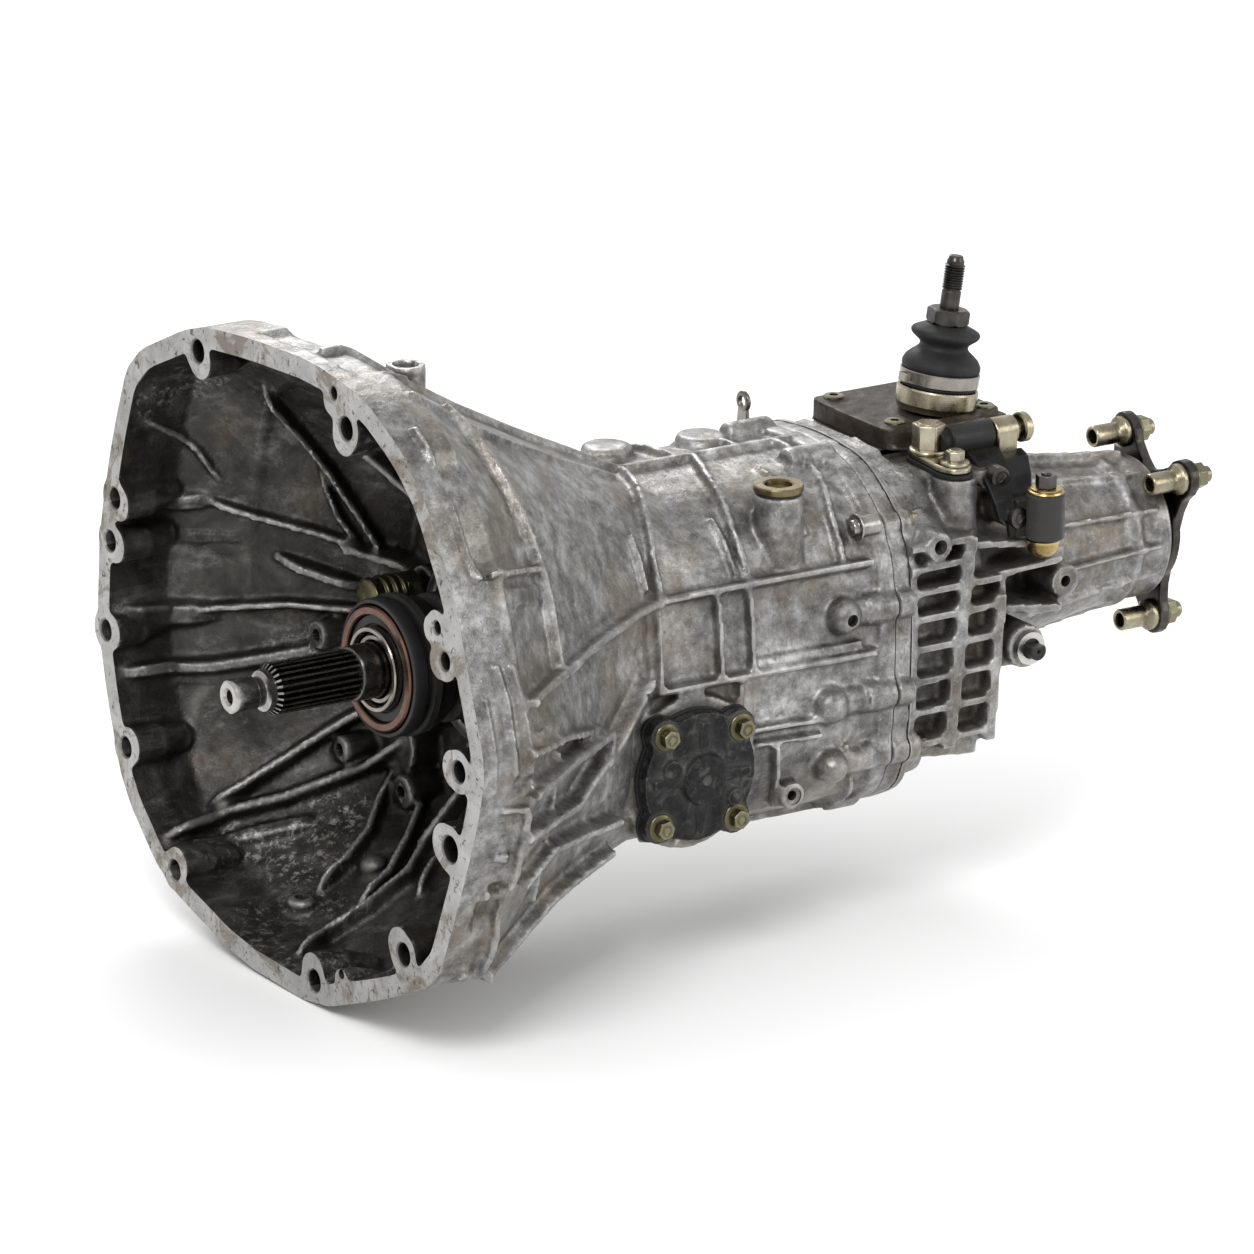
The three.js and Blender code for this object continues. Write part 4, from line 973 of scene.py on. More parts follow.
def extension_ribs(skin, solid):
    """The rib grid on the box, the webs towards the tail, and fins along the tail."""
    for side in (-1, 1):
        low, high = sorted((side * 97, side * 70))
        for z, end in ((46, 404), (33, 398), (19, 426), (3, 424), (-15, 428), (-34, 424), (-53, 422), (-72, 420)):
            solid.prism([(358, z - 2.6), (end, z - 1), (end, z + 3.4), (358, z + 2.2)], "y", low, high)
        for shift, foot, width in ((404, 392, 4.5), (427, 421, 3.5)):
            top = 48 if shift < 410 else 10
            solid.prism([(foot - width, -78), (foot + width, -78), (shift + width, top), (shift - width, top)], "y", low, high)
    solid.prism([(362, -82), (418, -88), (418, -70), (362, -70)], "y", -88, 88)
    web = [(404, 44), (470, 34), (470, 30), (404, 39)]
    solid.prism(web, "y", -92, -40)
    solid.prism([(404, 21), (474, 24), (474, 20), (404, 16)], "y", -92, -40)
    solid.prism([(424, 2), (476, -6), (476, -11), (424, -4)], "y", -90, -40)
    solid.prism([(428, 20), (433, 20), (433, -4), (428, -4)], "y", -92, -40)
    solid.prism([(474, -10), (482, -10), (482, 26), (474, 26)], "y", -82, -40)
    for degrees, height in ((90, 7), (62, 4), (118, 4), (0, 6), (180, 6), (152, 4), (28, 4), (205, 4), (335, 4), (270, 7)):
        angle = math.radians(degrees)
        y, z = math.cos(angle), math.sin(angle)
        skin.rib(solid, [(478, y, z), (530, y, z), (TAIL_END - 8, y, z)], 5, height)
    skin.rib(solid, [(566, *(math.cos(a), math.sin(a))) for a in [math.tau * i / 24 for i in range(25)]], 8, 3)


def make_rear_extension():
    skin = extension_skin()
    shell = Solid().loft(skin.sections).finish("rear_casting", [ALUMINIUM, MACHINED])
    inside = [(PLATE_END - 4, inset_by(skin.sections[0][1], 7))]
    inside += [(x, inset_by(section, 7)) for x, section in skin.sections[1:4]]
    inside += [(TAIL_START, circle_section(45)), (550, circle_section(33)), (552, circle_section(26.6))]
    inside.append((TAIL_END + 6, circle_section(26.6)))
    detail = Solid()
    extension_ribs(skin, detail)
    flange = radii(softened(mirrored(CASE_HALF)), -4)
    detail.loft([(PLATE_END - 4, flange), (PLATE_END + 5, flange)])
    for y, z in ((-78, 58), (-92, -74), (78, 58), (97, 16), (97, -37)):
        detail.bar("x", PLATE_END - 4, PLATE_END + 8, (0, y * 0.985, z * 0.985), 9, 24)
    detail.turned([(TAIL_END - 12, 34), (TAIL_END - 12, 43), (TAIL_END + 4, 43), (TAIL_END + 4, 34)])
    detail.prism([(402, -10), (482, -10), (482, 60), (402, 60)], "z", 30, 84)
    detail.prism([(402, -40), (482, -40), (482, 0), (402, 0)], "z", 30, 70)
    detail.prism([(366, -30), (404, -22), (404, 56), (366, 46)], "z", 60, 84)
    shoulder = [(PLATE_END, -90, 40), (PLATE_END, -60, 76), (PLATE_END, 0, 84), (PLATE_END, 0, 40)]
    shoulder = [shoulder, [(392, -88, 44), (392, -62, 74), (392, 0, 86), (392, 0, 40)], [(424, -74, 44), (424, -54, 66), (424, 0, 84), (424, 0, 40)]]
    detail.rings(shoulder)
    detail.bar("z", 30, 79, (409, -71, 0), 13, 32)
    detail.prism([(400, -70), (424, -70), (424, -20), (400, -20)], "z", 40, 78)
    turns = [math.tau * i / 32 for i in range(32)]
    detail.rings([[(410 + size * math.cos(a), size * math.sin(a), z) for a in turns] for size, z in ((32, -98), (25, -118))])
    for y0, x, z, radius in ((-72, 434, 73, 8), (-84, 442, 52, 8), (-96, 446, -25.5, 13), (-99, 380, 46, 8.5), (-86, 480, 6, 10)):
        detail.bar("y", y0, -30, (x, 0, z), radius, 28)
    detail.turned([(-98, 8.5), (-90, 10), (-76, 18)], (380, 0, 46), "y", 28)
    detail.prism([(424, -18), (446, -14), (446, -38), (424, -38)], "y", -88, -30)
    merge(shell, detail.finish("detail", ALUMINIUM))
    cast(shell, VOXEL, 3)
    combine(shell, Solid().loft(inside).finish("core", ALUMINIUM), "DIFFERENCE")
    faces = Solid().block((PLATE_END - 20, -200, -200), (PLATE_END, 200, 200))
    faces.block((TAIL_END, -80, -80), (TAIL_END + 20, 80, 80))
    faces.block((389, -90, 77), (500, -24, 100)).block((389, -24, 80), (500, 70, 100)).block((400, -23, 65), (486, -10, 90)).block((390, -40, -140), (450, 40, -117))
    combine(shell, faces.finish("faces", MACHINED), "DIFFERENCE")
    holes = Solid().bar("z", 40, 90, (445, 0, 0), 17, 40)
    holes.bar("y", -110, -60, (446, 0, -25.5), 6.3, 28)
    holes.turned([(-110, 4.4), (-98, 4.4), (-96, 3), (-84, 3)], (380, 0, 46), "y", 24)
    holes.bar("y", -90, -66, (480, 0, 6), 3.4, 24)
    combine(shell, holes.finish("holes", MACHINED), "DIFFERENCE")
    paint_faces(shell, lambda where, normal: 1 if where.x < PLATE_END + 0.1 or where.x > TAIL_END - 0.1 else 0)
    sharpen(shell)
    place(shell, "case", "cast_aluminium", "rear_extension")


# ---------------------------------------------------------------- pieces in the bell


def spline_outline(count, tip, root):
    """A splined shaft's section as (y, z)."""
    outline = []
    for tooth in range(count):
        start = math.tau * tooth / count
        pitch = math.tau / count
        for share, radius in ((0.0, root), (0.28, root), (0.40, tip), (0.52, tip + 0.15), (0.76, tip), (0.88, root)):
            outline.append((radius * math.cos(start + pitch * share), radius * math.sin(start + pitch * share)))
    return outline


def scaled(outline, share):
    return [(y * share, z * share) for y, z in outline]


def make_input_shaft():
    pilot = Solid().turned(
        [
            (-29, 0.5), (-30, 3.4), (-35.5, 3.9), (-37, 5.2), (-37, 8.4), (-36.2, 9.4), (-34.6, 10), (-22, 10),
            (-21.2, 9.4), (-20.6, 8.6), (-16.8, 8.6), (-16, 9.6), (-15.4, 11.6), (-12, 11.9), (-10, 11.9), (-10, 0.5),
        ],
        segments=72,
    )
    pilot = pilot.finish("input_shaft_pilot", GROUND, 25)
    place(pilot, "input", "bright_steel")
    teeth = spline_outline(24, 14.6, 12.2)
    core = spline_outline(24, 12.4, 12.1)
    sections = [(-12, core), (-9.5, teeth), (42, teeth), (45, core)]
    splines = Solid().rings([[(x, y, z) for y, z in outline] for x, outline in sections])
    splines.turned([(42, 12.5), (43.5, 15.2), (45, 16), (64, 16), (66, 15.2), (140, 15.2), (140, 1), (42, 1), (42, 12.5)], segments=64)
    shaft = splines.finish("input_shaft_splines", SPLINE, 30)
    place(shaft, "input", "dark_steel", "input_shaft")


def make_release_parts():
    ring = Solid().turned(
        [
            (60.8, 31.0), (60.0, 31.6), (60.0, 35.2), (61.0, 36.2), (63, 36.5), (67.6, 36.5), (67.6, 31), (60.8, 31.0),
        ],
        segments=96,
    )
    place(ring.finish("release_contact_ring", BRONZE, 25), "release_race", "bronze", "release_ring")
    carrier = Solid().turned(
        [
            (64, 20.4), (64, 25.2), (62.8, 25.8), (62.8, 30.4), (67.8, 30.6), (68.2, 36.7), (62.4, 36.9), (61.6, 37.6), (62.2, 39.2),
            (64.5, 40), (70, 40), (71, 39), (73.5, 39), (74.4, 41), (79, 41), (80.4, 39.5), (82, 38), (90, 37.4),
            (92, 34), (97, 33), (97, 20.4), (64, 20.4),
        ],
        segments=96,
    )
    place(carrier.finish("release_bearing_body", BLACK, 28), "release_carrier", "dark_steel", "release_bearing")
    race = Solid().turned(
        [(58.4, 21.4), (57.6, 22), (57.6, 24.0), (58.4, 24.6), (64.4, 24.8), (64.4, 20.8), (60, 20.8), (58.4, 21.4)],
        segments=96,
    )
    place(race.finish("release_bearing_inner_race", STEEL_BAND, 25), "release_carrier", "dark_steel")
    sleeve = Solid().turned(
        [
            (60.5, 16.6), (60, 17.2), (60, 19.2), (60.6, 19.8), (138, 20), (140, 22), (141, 47), (147.4, 47.6),
            (147.4, 30), (144, 16.6), (60.5, 16.6),
        ],
        segments=96,
    )
    for i in range(6):
        angle = math.tau * i / 6 + 0.3
        sleeve.prism(hexagon(10, 41 * math.cos(angle), 41 * math.sin(angle)), "x", 134.5, 141.2)
    place(sleeve.finish("retainer_sleeve", STEEL_BAND, 28), "case", "bright_steel", "bearing_retainer")
    cylinder = Solid().turned(
        [
            (98, 22.6), (98, 35), (100, 37), (106, 37), (107, 36), (111, 36), (112, 37), (138, 37), (139.6, 35),
            (139.6, 22.6), (98, 22.6),
        ],
        segments=96,
    )
    place(cylinder.finish("slave_cylinder_body", BLACK, 28), "case", "black_paint", "slave_cylinder")


def make_hydraulic_union():
    union = Solid().turned(
        [
            (96, 0.5), (95.2, 6), (96, 10.6), (97.2, 11.8), (99.6, 12), (100.4, 10.6), (104, 10.2), (104.6, 11.8), (106.6, 12),
            (107.4, 10.2), (109.6, 10.2), (110.4, 11.9), (112.4, 12), (113.2, 10.2), (115.4, 10.2), (116.2, 11.6),
            (118, 11.6), (119, 8), (134, 7.6), (147, 6), (147, 0.5),
        ],
        (0, 66, 18),
        segments=48,
    )
    union.prism(hexagon(20, 66, 18, 0.3), "x", 119, 130)
    piece = soften_edges(union.finish("hydraulic_union_bolt", DARK_ZINC, 28), 0.5)
    place(piece, "case", "zinc_plated", "hydraulic_union")


# ---------------------------------------------------------------- covers and fittings on the case


def wavy_disc(radius, lobes, reach_out, count=96):
    """A round cover's outline with a lobe at each bolt, round its own middle."""
    outline = []
    for i in range(count):
        angle = math.tau * i / count
        best = radius
        for x, z, size in lobes:
            distance, bearing = math.hypot(x, z), math.atan2(z, x)
            offset = (angle - bearing + math.pi) % math.tau - math.pi
            side = distance * math.sin(offset)
            if abs(side) < size and math.cos(offset) > 0:
                best = max(best, distance * math.cos(offset) + math.sqrt(size * size - side * side) + reach_out)
        outline.append((best * math.cos(angle), best * math.sin(angle)))
    return outline


def make_side_cover():
    x0, z0, face = 207, -58, -102.3
    lobes = [(x - x0, z - z0, 10.5) for x, z in side_cover_bolts()]
    outline = [(x0 + a, z0 + b) for a, b in wavy_disc(37.5, lobes, -0.6)]
    gasket_outline = [(x0 + a, z0 + b) for a, b in wavy_disc(39, lobes, 0.8)]
    gasket = soften_edges(Solid().prism(gasket_outline, "y", face - 1.6, face).finish("side_cover_gasket", RUBBER), 0.5)
    place(gasket, "case", "black_rubber")
    cover = Solid().prism(outline, "y", face - 9, face - 1.8)
    cover.turned([(-118.4, 1), (-118.4, 12), (-117.6, 14.4), (-113, 15.4), (-112, 19), (-111.4, 24), (-110.4, 27), (-104, 27)], (x0, 0, z0), "y", 64)
    for i in range(4):
        angle = math.radians(88 + 90 * i)
        a, b = math.cos(angle), math.sin(angle)
        foot = [(x0 + a * r - b * w, z0 + b * r + a * w) for r, w in ((14, -3.4), (33, -2.6), (33, 2.6), (14, 3.4))]
        cover.prism(foot, "y", -114.4, -108)
    cover.bar("y", -115.2, -108, (x0 - 21, 0, z0 + 8), 6, 28)
    cover.bar("y", -115.2, -108, (x0 + 22, 0, z0 - 15), 5, 28)
    piece = cover.finish("side_cover_casting", STAINED_BLACK)
    cast(piece, 0.9, 2)
    combine(piece, Solid().turned([(-119, 3.2), (-117, 3), (-116, 1)], (x0, 0, z0), "y", 24).finish("hole", BLACK), "DIFFERENCE")
    sharpen(piece)
    place(piece, "case", "black_paint", "side_cover")
    for i, (x, z) in enumerate(side_cover_bolts()):
        bolt = flanged_bolt(f"side_cover_bolt_piece_{i + 1}", (x, face - 9, z), 10, 8.2, 7.2, turn=0.5 * i + 0.2)
        place(bolt, "case", "zinc_plated", f"side_cover_bolt_{i + 1}")


def flanged_bolt(name, seat, across, flange, height, turn=0.0, material=None):
    """A hexagon bolt with a flange, its head towards the near side."""
    x, y, z = seat
    head = Solid().turned(
        [(y + 4, 2), (y + 4, 3), (y, 3), (y, flange), (y - 1.3, flange), (y - 2.4, across / 2 + 0.4), (y - 2.4, 2)],
        (x, 0, z), "y", 40,
    )
    head.prism(hexagon(across, x, z, turn), "y", y - height, y - 1)
    head.turned([(y - height + 0.4, 1), (y - height - 0.5, across * 0.30), (y - height + 0.5, across * 0.42), (y - 1, across * 0.42)], (x, 0, z), "y", 32)
    return soften_edges(head.finish(name, material or DARK_ZINC, 28), 0.55)


def make_filler():
    x, y, top = 283, -74, 88
    bush = Solid().turned(
        [
            (top - 12, 6.4), (top - 12, 8), (top + 1.6, 8), (top + 1.6, 11), (top + 0.9, 13), (top + 1.2, 14.2), (top + 2.2, 14.6),
            (top + 4.4, 14.6), (top + 5.2, 14), (top + 5.3, 9), (top + 4.6, 8), (top + 2, 7.4), (top + 1, 6.4), (top - 12, 6.4),
        ],
        (x, y, 0), "z", 64,
    )
    place(bush.finish("filler_bush_flange", BRASS, 30), "case", "brass", "filler_bush")
    seal = Solid().turned(
        [(top + 0.2 + 1.0 * math.sin(a), 12.6 + 1.0 * math.cos(a)) for a in [math.tau * i / 16 for i in range(17)]][:-1]
        + [(top + 0.2, 13.6)], (x, y, 0), "z", 48,
    )
    place(seal.finish("filler_seal", RUBBER, 60), "case", "black_rubber")


def make_drain_plug():
    plug = Solid().turned([(84, 9), (94.8, 9), (94.8, 11.6), (96.4, 11.6), (97, 10.5), (97, 1), (84, 1), (84, 9)], (230, 0, -70), "y", 40)
    plug.prism(hexagon(17, 230, -70), "y", 96.5, 101)
    place(soften_edges(plug.finish("drain_plug_head", ZINC, 28), 0.5), "case", "zinc_plated", "drain_plug")


def make_case_fittings():
    """Bolts of the joint flanges, a stud, the lifting eye and the speedometer bush."""
    bolts = [(-78, 58), (-92, -74), (78, 58), (97, 16), (97, -37)]
    for i, (y, z) in enumerate(bolts):
        y, z = y * 0.985, z * 0.985
        bolt = Solid().turned([(PLATE_END + 8, 1), (PLATE_END + 8, 7.4), (PLATE_END + 9.6, 7.4), (PLATE_END + 9.6, 1)], (0, y, z), "x", 32)
        bolt.prism(hexagon(10, y, z, 0.4 * i), "x", PLATE_END + 9.4, PLATE_END + 15)
        piece = soften_edges(bolt.finish(f"joint_bolt_{i + 1}", DARK_ZINC, 28), 0.5)
        place(piece, "case", "zinc_plated")
    stud = Solid().turned([(326, 1), (327, 4.4), (330, 5), (330, 8), (331.4, 8), (331.4, 6.4), (344, 6.4), (344, 1)], (0, -84, 62), "x", 32)
    place(soften_edges(stud.finish("near_joint_stud", BRIGHT, 28), 0.4), "case", "bright_steel")
    eye = Solid().turned([(-1.4, 3.2), (-1.4, 5.6), (-0.6, 6.4), (0.6, 6.4), (1.4, 5.6), (1.4, 3.2), (-1.4, 3.2)], (345, 50, 101), "x", 40)
    eye.prism([(44.5, 86), (55.5, 86), (54, 98), (46, 98)], "x", 343.8, 346.2)
    place(soften_edges(eye.finish("lifting_eye", STEEL_BAND, 28), 0.4), "case", "bright_steel")
    stub = Solid().turned([(-96, 10.4), (-100, 9.8), (-100, 6.2), (-96, 6.2), (-96, 10.4)], (446, 0, -25.5), "y", 40)
    place(stub.finish("speedo_bush", BRIGHT, 30), "case", "bright_steel")


def make_speedo_stub():
    pinion = Solid().turned([(-107.6, 1.4), (-108, 2.2), (-108, 4.4), (-107.2, 5.3), (-100.5, 5.3), (-99.5, 5.8), (-60, 5.8), (-60, 1.4), (-107.6, 1.4)], (446, 0, -25.5), "y", 40)
    piece = pinion.finish("speedo_shaft_end", BLACK, 28)
    flat = Solid().block((436, -112, -22.6), (456, -99, -10)).finish("flat", BLACK)
    combine(piece, flat, "DIFFERENCE")
    sharpen(piece, 28)
    place(piece, "speedo", "black_paint", "speedo_pinion")


# ---------------------------------------------------------------- turret and gear lever

LEVER_X = 446
LEVER_Z = 93.3
TILT = Matrix.Rotation(math.radians(8), 3, "Y")
TURRET = (LEVER_X, 0, LEVER_Z)
FOOT = 24 * math.sin(math.radians(8)) + 0.3


def lever_piece(name, body, slot, material, profile, *replaced, segments=72, angle=28):
    piece = Solid().turned(profile, TURRET, "z", segments, TILT).finish(name, material, angle)
    return place(piece, body, slot, *replaced)


def make_control_cover():
    rounded = softened([(402, -20), (483, -20), (485, 58), (480, 62), (404, 62), (399, 56), (398, -14)], 1)
    cover = Solid().prism(rounded, "z", 80.3, 92.4)
    cover.prism(softened([(403, -21.5), (484, -21.5), (484, -12), (403, -12)], 1), "z", 66, 90)
    cover.prism([(420, -40), (458, -40), (458, -18), (420, -18)], "z", 80.3, 87)
    cover.bar("z", 80.3, 93.4, (LEVER_X + 1, 0, 0), 27, 64)
    cover.bar("x", 428, 452, (0, -26, 88), 8, 32)
    for x, y in cover_screws():
        cover.turned([(80.3, 8.4), (92.8, 8.4), (93.3, 7.6), (93.3, 1)], (x, y, 0), "z", 32)
    piece = cover.finish("control_cover_casting", IRON)
    cast(piece, 0.9, 2)
    cuts = Solid().bar("z", 60, 100, (LEVER_X - 1, 0, 0), 16, 40).block((380, -11, 60), (500, 80, 80.3))
    combine(piece, cuts.finish("cuts", IRON), "DIFFERENCE")
    sharpen(piece)
    place(piece, "case", "dark_iron", "control_cover")
    gasket = soften_edges(Solid().prism([(x + (x - 441) * 0.008, y + (y - 20) * 0.012) for x, y in rounded], "z", 79.9, 80.6).finish("cover_gasket", RUBBER), 0.15)
    place(gasket, "case", "black_rubber")
    for i, (x, y) in enumerate(cover_screws()):
        screw = Solid().turned([(92.6, 1), (92.6, 6.2), (94.4, 6.2), (95, 5.4), (95, 2.6), (93.8, 2.4), (93.8, 1)], (x, y, 0), "z", 36)
        place(screw.finish(f"cover_screw_{i + 1}", DARK_ZINC, 28), "case", "zinc_plated")


def cover_screws():
    return [(410, -10), (410, 51), (474, -10), (474, 50)]


def make_lever_stack():
    band = FOOT + 12.4
    collar = [
        (FOOT - 3.2, 13), (FOOT - 3.2, 22.8), (FOOT, 23.6), (FOOT + 0.6, 24), (FOOT + 9.2, 24), (FOOT + 10.2, 23.4),
        (FOOT + 10.2, 13), (FOOT - 3.2, 13),
    ]
    lever_piece("turret_collar_ring", "case", "zinc_plated", CHAMPAGNE, collar, "turret_collar")
    band_profile = [
        (band, 22), (band, 23), (band + 0.5, 23.5), (band + 7.4, 23.5), (band + 7.9, 23), (band + 7.9, 22), (band, 22),
    ]
    clamp = Solid().turned(band_profile, TURRET, "z", 72, TILT)
    lug = Solid().prism([(-27.5, -3), (-22.6, -3), (-22.6, 3), (-27.5, 3)], "z", band + 1.5, band + 6.4, TURRET, TILT)
    merge_into = clamp.finish("clamp_band", STEEL_BAND, 28)
    merge(merge_into, soften_edges(lug.finish("lug", STEEL_BAND, 28), 0.3))
    place(merge_into, "case", "bright_steel", "boot_clamp_band")

    rim = FOOT + 10.3
    dome = [
        (rim, 14), (rim, 21.6), (rim + 0.8, 22.4), (rim + 1.6, 22.4), (rim + 2.2, 21.8), (band + 0.2, 21.7),
        (band + 8, 21.9), (band + 8.4, 22.6), (band + 9.6, 23.1), (band + 12, 23), (band + 15, 21.4), (band + 17.6, 18.6),
        (band + 19.4, 16.2), (band + 20.6, 14.9), (band + 21.6, 14.4), (band + 22.2, 14.3), (band + 22.2, 13.2),
        (band + 20.4, 13.6), (band + 18, 16.2), (band + 14, 19.6), (band + 10, 20.6), (rim + 2, 19), (rim, 14),
    ]
    lip = [
        (band + 21.8, 13.2), (band + 21.8, 14.2), (band + 23, 14.2), (band + 24.4, 14.9), (band + 26, 16.8),
        (band + 27.6, 19), (band + 29, 20.1), (band + 30.4, 20.3), (band + 31.6, 19.6), (band + 32.8, 17.4),
        (band + 34, 14.6), (band + 35.2, 12.4), (band + 35.4, 6.4), (band + 30, 6.4), (band + 26.5, 12), (band + 21.8, 13.2),
    ]
    for name, profile, node, first, second, low, high in (
        ("rubber_boot", dome, "gear_lever_boot", "case", "lever_gimbal", band + 10, band + 20),
        ("rubber_boot_lip", lip, "boot_lip", "lever_gimbal", "lever", band + 23, band + 29),
    ):
        piece = Solid().turned(profile, TURRET, "z", 96, TILT).finish(name, RUBBER, 60)
        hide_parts(node)
        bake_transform(piece)


def make_lever():
    nut_low, nut_high = 51.6, 60.6
    nut = Solid().prism(hexagon(22, 0, 0, 0.28), "z", nut_low, nut_high, TURRET, TILT)
    piece = nut.finish("stud_nut", DARK, 28)
    cone = Solid().turned(
        [(nut_low - 2, 1), (nut_low - 2, 8.6), (nut_low + 1.4, 12.9), (nut_high - 1.4, 12.9), (nut_high + 0.2, 10.4), (nut_high + 0.2, 1)],
        TURRET, "z", 64, TILT,
    )
    combine(piece, cone.finish("cone", DARK, 28), "INTERSECT")
    sharpen(piece, 28)
    place(soften_edges(piece, 0.35), "lever", "dark_steel", "lever_nut")
    thread = []
    start, end, pitch = 72, 88.4, 1.5
    turns = int((end - start) / pitch)
    for i in range(turns):
        low = start + i * pitch
        thread += [(low, 5.25), (low + 0.5, 6.05), (low + 0.75, 6.1), (low + 1.25, 5.25)]
    stud = [(-35, 0.5), (-34, 2.6), (-31, 3.6), (-22, 3.6), (-18, 4.2), (47, 4.2), (50, 5.7), (70.6, 5.7), (71.4, 5.2)] + thread
    stud += [(end + 0.4, 5.1), (end + 1.6, 4.4), (91.6, 4.1), (92, 3.6), (92, 0.5)]
    lever_piece("gear_lever_stud", "lever", "dark_steel", DARK, stud, "shift_lever", segments=56, angle=24)


# ---------------------------------------------------------------- linkage beside the turret


def make_linkage():
    axis = (0, -46, 90)
    housing = Solid().turned(
        [
            (414, 1), (414, 6.6), (415, 7.6), (419, 7.6), (419.6, 7), (420.4, 8.4), (421.4, 9), (449, 9), (450.4, 8.4),
            (451, 7), (451, 1),
        ],
        axis, segments=48,
    )
    housing.prism([(426, -46), (444, -46), (444, -36), (426, -36)], "z", 82, 92)
    place(soften_edges(housing.finish("spring_housing", BLACK, 28), 0.4), "case", "dark_steel", "return_spring_housing")
    knuckle = Solid().turned([(451.4, 4), (451.4, 7.6), (452.4, 8.4), (467, 8.4), (468, 7.6), (468, 4), (451.4, 4)], axis, segments=48)
    knuckle.prism([(453, -54.4), (466, -54.4), (466, -50.4), (453, -50.4)], "z", 74, 91)
    knuckle.prism([(453, -41.6), (466, -41.6), (466, -37.6), (453, -37.6)], "z", 76, 91)
    place(soften_edges(knuckle.finish("linkage_knuckle", ZINC, 28), 0.6), "case", "zinc_plated")
    pin = Solid().turned([(448, 1), (448, 5), (472, 5), (472, 7.6), (473, 8.8), (477, 8.8), (478, 8), (478.4, 4), (478.4, 1)], axis, segments=40)
    place(pin.finish("linkage_pin", ZINC, 28), "case", "zinc_plated")

    outline = softened([(402, -34), (408, -28), (418, -30), (425, -38), (424, -50), (417, -60), (418, -76), (411, -82), (402, -80), (398, -70), (401, -50)], 2)
    pad = Solid().prism([(x + (x - 411) * 0.06, y + (y + 54) * 0.04) for x, y in outline], "z", 77.4, 80)
    place(soften_edges(pad.finish("gate_plate_gasket", RUBBER, 28), 0.5), "case", "black_rubber")
    plate = Solid().prism(outline, "z", 80, 84)
    place(soften_edges(plate.finish("gate_plate", CHAMPAGNE, 28), 1.3, 3), "case", "zinc_plated", "gate_retainer_plate")
    for name, x, y, across, height, flange in (("gate_bolt_large", 411, -42, 17, 15, 11.4), ("gate_bolt_small", 409, -71, 10, 6.4, 8.6)):
        head = Solid().turned([(83, 1), (83.6, flange), (86, flange), (86.8, across * 0.52), (86.8, 1)], (x, y, 0), "z", 40)
        head.prism(hexagon(across, x, y, 0.35), "z", 86, 86 + height)
        head.turned([(86, 1), (86, across * 0.44), (86 + height + 0.6, across * 0.38), (86 + height + 0.6, 1)], (x, y, 0), "z", 32)
        place(soften_edges(head.finish(name, CHAMPAGNE, 28), 0.7), "case", "zinc_plated")

    front = [(462, -52, 80, 9), (458, -64, 79, 9), (452, -77, 72, 8), (447, -85, 64, 8), (445, -88, 54, 9.5), (445, -88, 39, 7)]
    rear = [(444, -50, 84, 12), (441, -62, 79, 10), (437, -76, 72, 9), (436, -85, 62, 8), (438, -87, 50, 7)]
    arm = strap(front, 4)
    merge_straps = strap(rear, 4).finish("rear_strap", BLACK, 28)
    arm.prism([(440, -90), (456, -95), (456, -87), (440, -85)], "z", 40, 62)
    piece = arm.finish("steady_arm", BLACK, 28)
    merge(piece, merge_straps)
    cast(piece, 0.8, 2)
    place(piece, "case", "black_paint", "steady_bracket")
    rim = Solid().turned([(39.6, 4.6), (38.6, 5.4), (38.6, 10), (39.8, 11.4), (64.8, 11.4), (66, 10.2), (66, 4.6), (39.6, 4.6)], (456, -96, 0), "z", 56)
    place(rim.finish("steady_barrel", BLACK, 28), "case", "black_paint")
    washer = Solid().turned([(66.2, 4.4), (66.2, 10.4), (67, 10.8), (67.8, 10.4), (68.2, 9), (69, 9), (69.4, 4.4), (66.2, 4.4)], (456, -96, 0), "z", 48)
    place(washer.finish("barrel_washer", GOLD, 28), "case", "brass")
    nut = Solid().prism(hexagon(11, 456, -96, 0.2), "z", 69.4, 77).bar("z", 30, 78.4, (456, -96, 0), 3, 24, 0.6)
    place(soften_edges(nut.finish("barrel_bolt", DARK, 28), 0.4), "case", "dark_steel")
    acorn = Solid().turned([(27.6, 0.5), (28, 3.4), (29.2, 6.2), (31.4, 8.4), (34, 9.4), (36, 9.6), (37, 10), (38.4, 10), (38.4, 0.5)], (455, -96, 0), "z", 48)
    place(acorn.finish("barrel_acorn_nut", GOLD, 35), "case", "brass")
    for i, (x, y, z) in enumerate(((437, -77, 73), (442, -90, 51.6))):
        profile = [(y - 3.4, 0.5), (y - 3.2, 2.4), (y - 2.4, 3.4), (y - 2.4, 4.6), (y - 1.2, 6.2), (y, 6.6), (y + 8, 6.6), (y + 8, 0.5)]
        rivet = Solid().turned(profile, (x, 0, z), "y", 36)
        place(rivet.finish(f"bracket_bolt_{i + 1}", DARK, 28), "case", "dark_steel")


def strap(stops, thickness):
    """A bent strip through (x, y, z, half width) stops."""
    solid = Solid()
    rings = []
    for i, (x, y, z, half) in enumerate(stops):
        before, after = stops[max(i - 1, 0)], stops[min(i + 1, len(stops) - 1)]
        dy, dz = after[1] - before[1], after[2] - before[2]
        length = math.hypot(dy, dz)
        ny, nz = -dz / length * thickness, dy / length * thickness
        rings.append([(x - half, y, z), (x + half, y, z), (x + half, y + ny, z + nz), (x - half, y + ny, z + nz)])
    return solid.rings(rings)


# ---------------------------------------------------------------- output flange

FLANGE_ARMS = [math.radians(degrees) for degrees in (73, 137, 253, 317)]


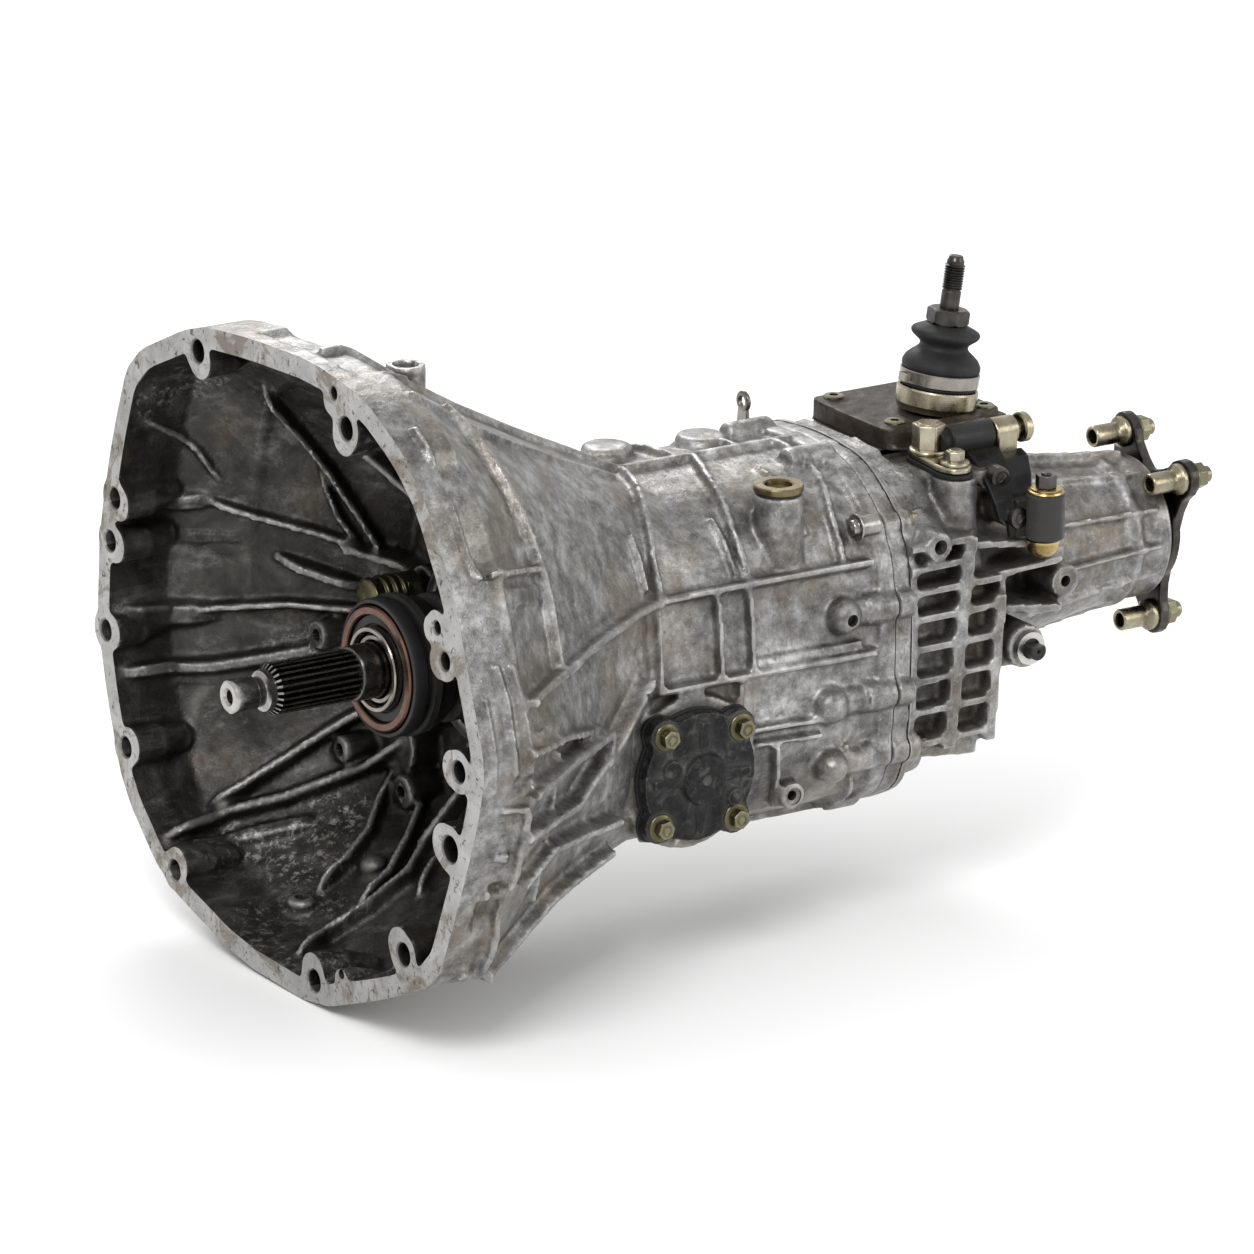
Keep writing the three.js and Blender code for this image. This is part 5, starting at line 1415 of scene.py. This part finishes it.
def make_output_flange():
    arms = Solid().turned(
        [(592.6, 13), (592.6, 26), (594, 30), (596, 37.5), (601.4, 37.5), (602, 36), (604, 29), (604.4, 26), (608, 25.6), (608, 19.5), (604.4, 19.5), (604.4, 13), (592.6, 13)],
        segments=80,
    )
    for angle in FLANGE_ARMS:
        a, b = math.cos(angle), math.sin(angle)
        half = [(8, 26), (26, 22), (38, 15), (48, 11.5), (55, 11.8), (61, 9.6), (65, 6), (66.6, 2.4)]
        outline = [(r, -w) for r, w in half] + [(r, w) for r, w in reversed(half)]
        arms.prism([(a * r - b * w, b * r + a * w) for r, w in outline], "x", 597, 603.8)
    piece = arms.finish("flange_forging", DARK)
    cast(piece, 0.9, 3)
    cuts = Solid().block((570, -90, -90), (592.6, 90, 90)).bar("x", 580, 620, (0, 0, 0), 12.4, 40)
    cuts.block((608, -90, -90), (640, 90, 90))
    for angle in FLANGE_ARMS:
        cuts.bar("x", 593, 607, (0, 55 * math.cos(angle), 55 * math.sin(angle)), 5.3, 24)
    combine(piece, cuts.finish("cuts", BRIGHT), "DIFFERENCE")
    sharpen(piece)
    place(piece, "output", "dark_steel", "output_flange")
    nut = Solid().turned([(604.6, 10.4), (604.6, 18), (606, 18), (606.2, 14), (606.2, 10.4), (604.6, 10.4)], segments=48)
    nut.rings([[(x, y, z) for y, z in hexagon(28)] for x in (606, 613)])
    place(soften_edges(nut.finish("shaft_nut", BRIGHT, 28), 0.6), "output", "bright_steel", "flange_nut")
    for i, angle in enumerate(FLANGE_ARMS):
        y, z = 55 * math.cos(angle), 55 * math.sin(angle)
        bolt = Solid().turned(
            [
                (580, 0.5), (579.4, 3.6), (574.6, 4.2), (574, 5), (574, 6), (574.8, 6.5), (588, 6.5), (588.6, 6.2), (591, 6.2),
                (591.6, 6.6), (593, 8.4), (594.2, 9.4), (596.8, 9.4), (596.8, 5), (617, 5), (618, 4.2), (618, 0.5),
            ],
            (0, y, z), segments=40,
        )
        place(bolt.finish(f"flange_stud_{i + 1}", ZINC, 28), "output", "zinc_plated", f"flange_bolt_{i + 1}")
        nut = Solid().turned([(604, 4), (604, 9.6), (605.6, 9.6), (606.4, 8), (606.4, 4), (604, 4)], (0, y, z), segments=40)
        nut.prism(hexagon(14, y, z, 0.5 * i), "x", 605.4, 613)
        place(soften_edges(nut.finish(f"flange_stud_nut_{i + 1}", DARK_ZINC, 28), 0.5), "output", "zinc_plated")
    seal = Solid().turned([(586, 26.4), (586, 36), (588, 41), (591.6, 41.6), (592.4, 40), (592.4, 27), (586, 26.4)], segments=80)
    place(seal.finish("tail_seal_shield", DARK, 28), "case", "dark_steel")


VOXEL = 1.8

make_front_case()
make_adapter_plate()
make_rear_extension()
make_input_shaft()
make_release_parts()
make_hydraulic_union()
make_side_cover()
make_filler()
make_drain_plug()
make_case_fittings()
make_speedo_stub()
make_control_cover()
make_lever_stack()
make_lever()
make_linkage()
make_output_flange()

finish_cad_nodes()
add_camera()
add_stage()
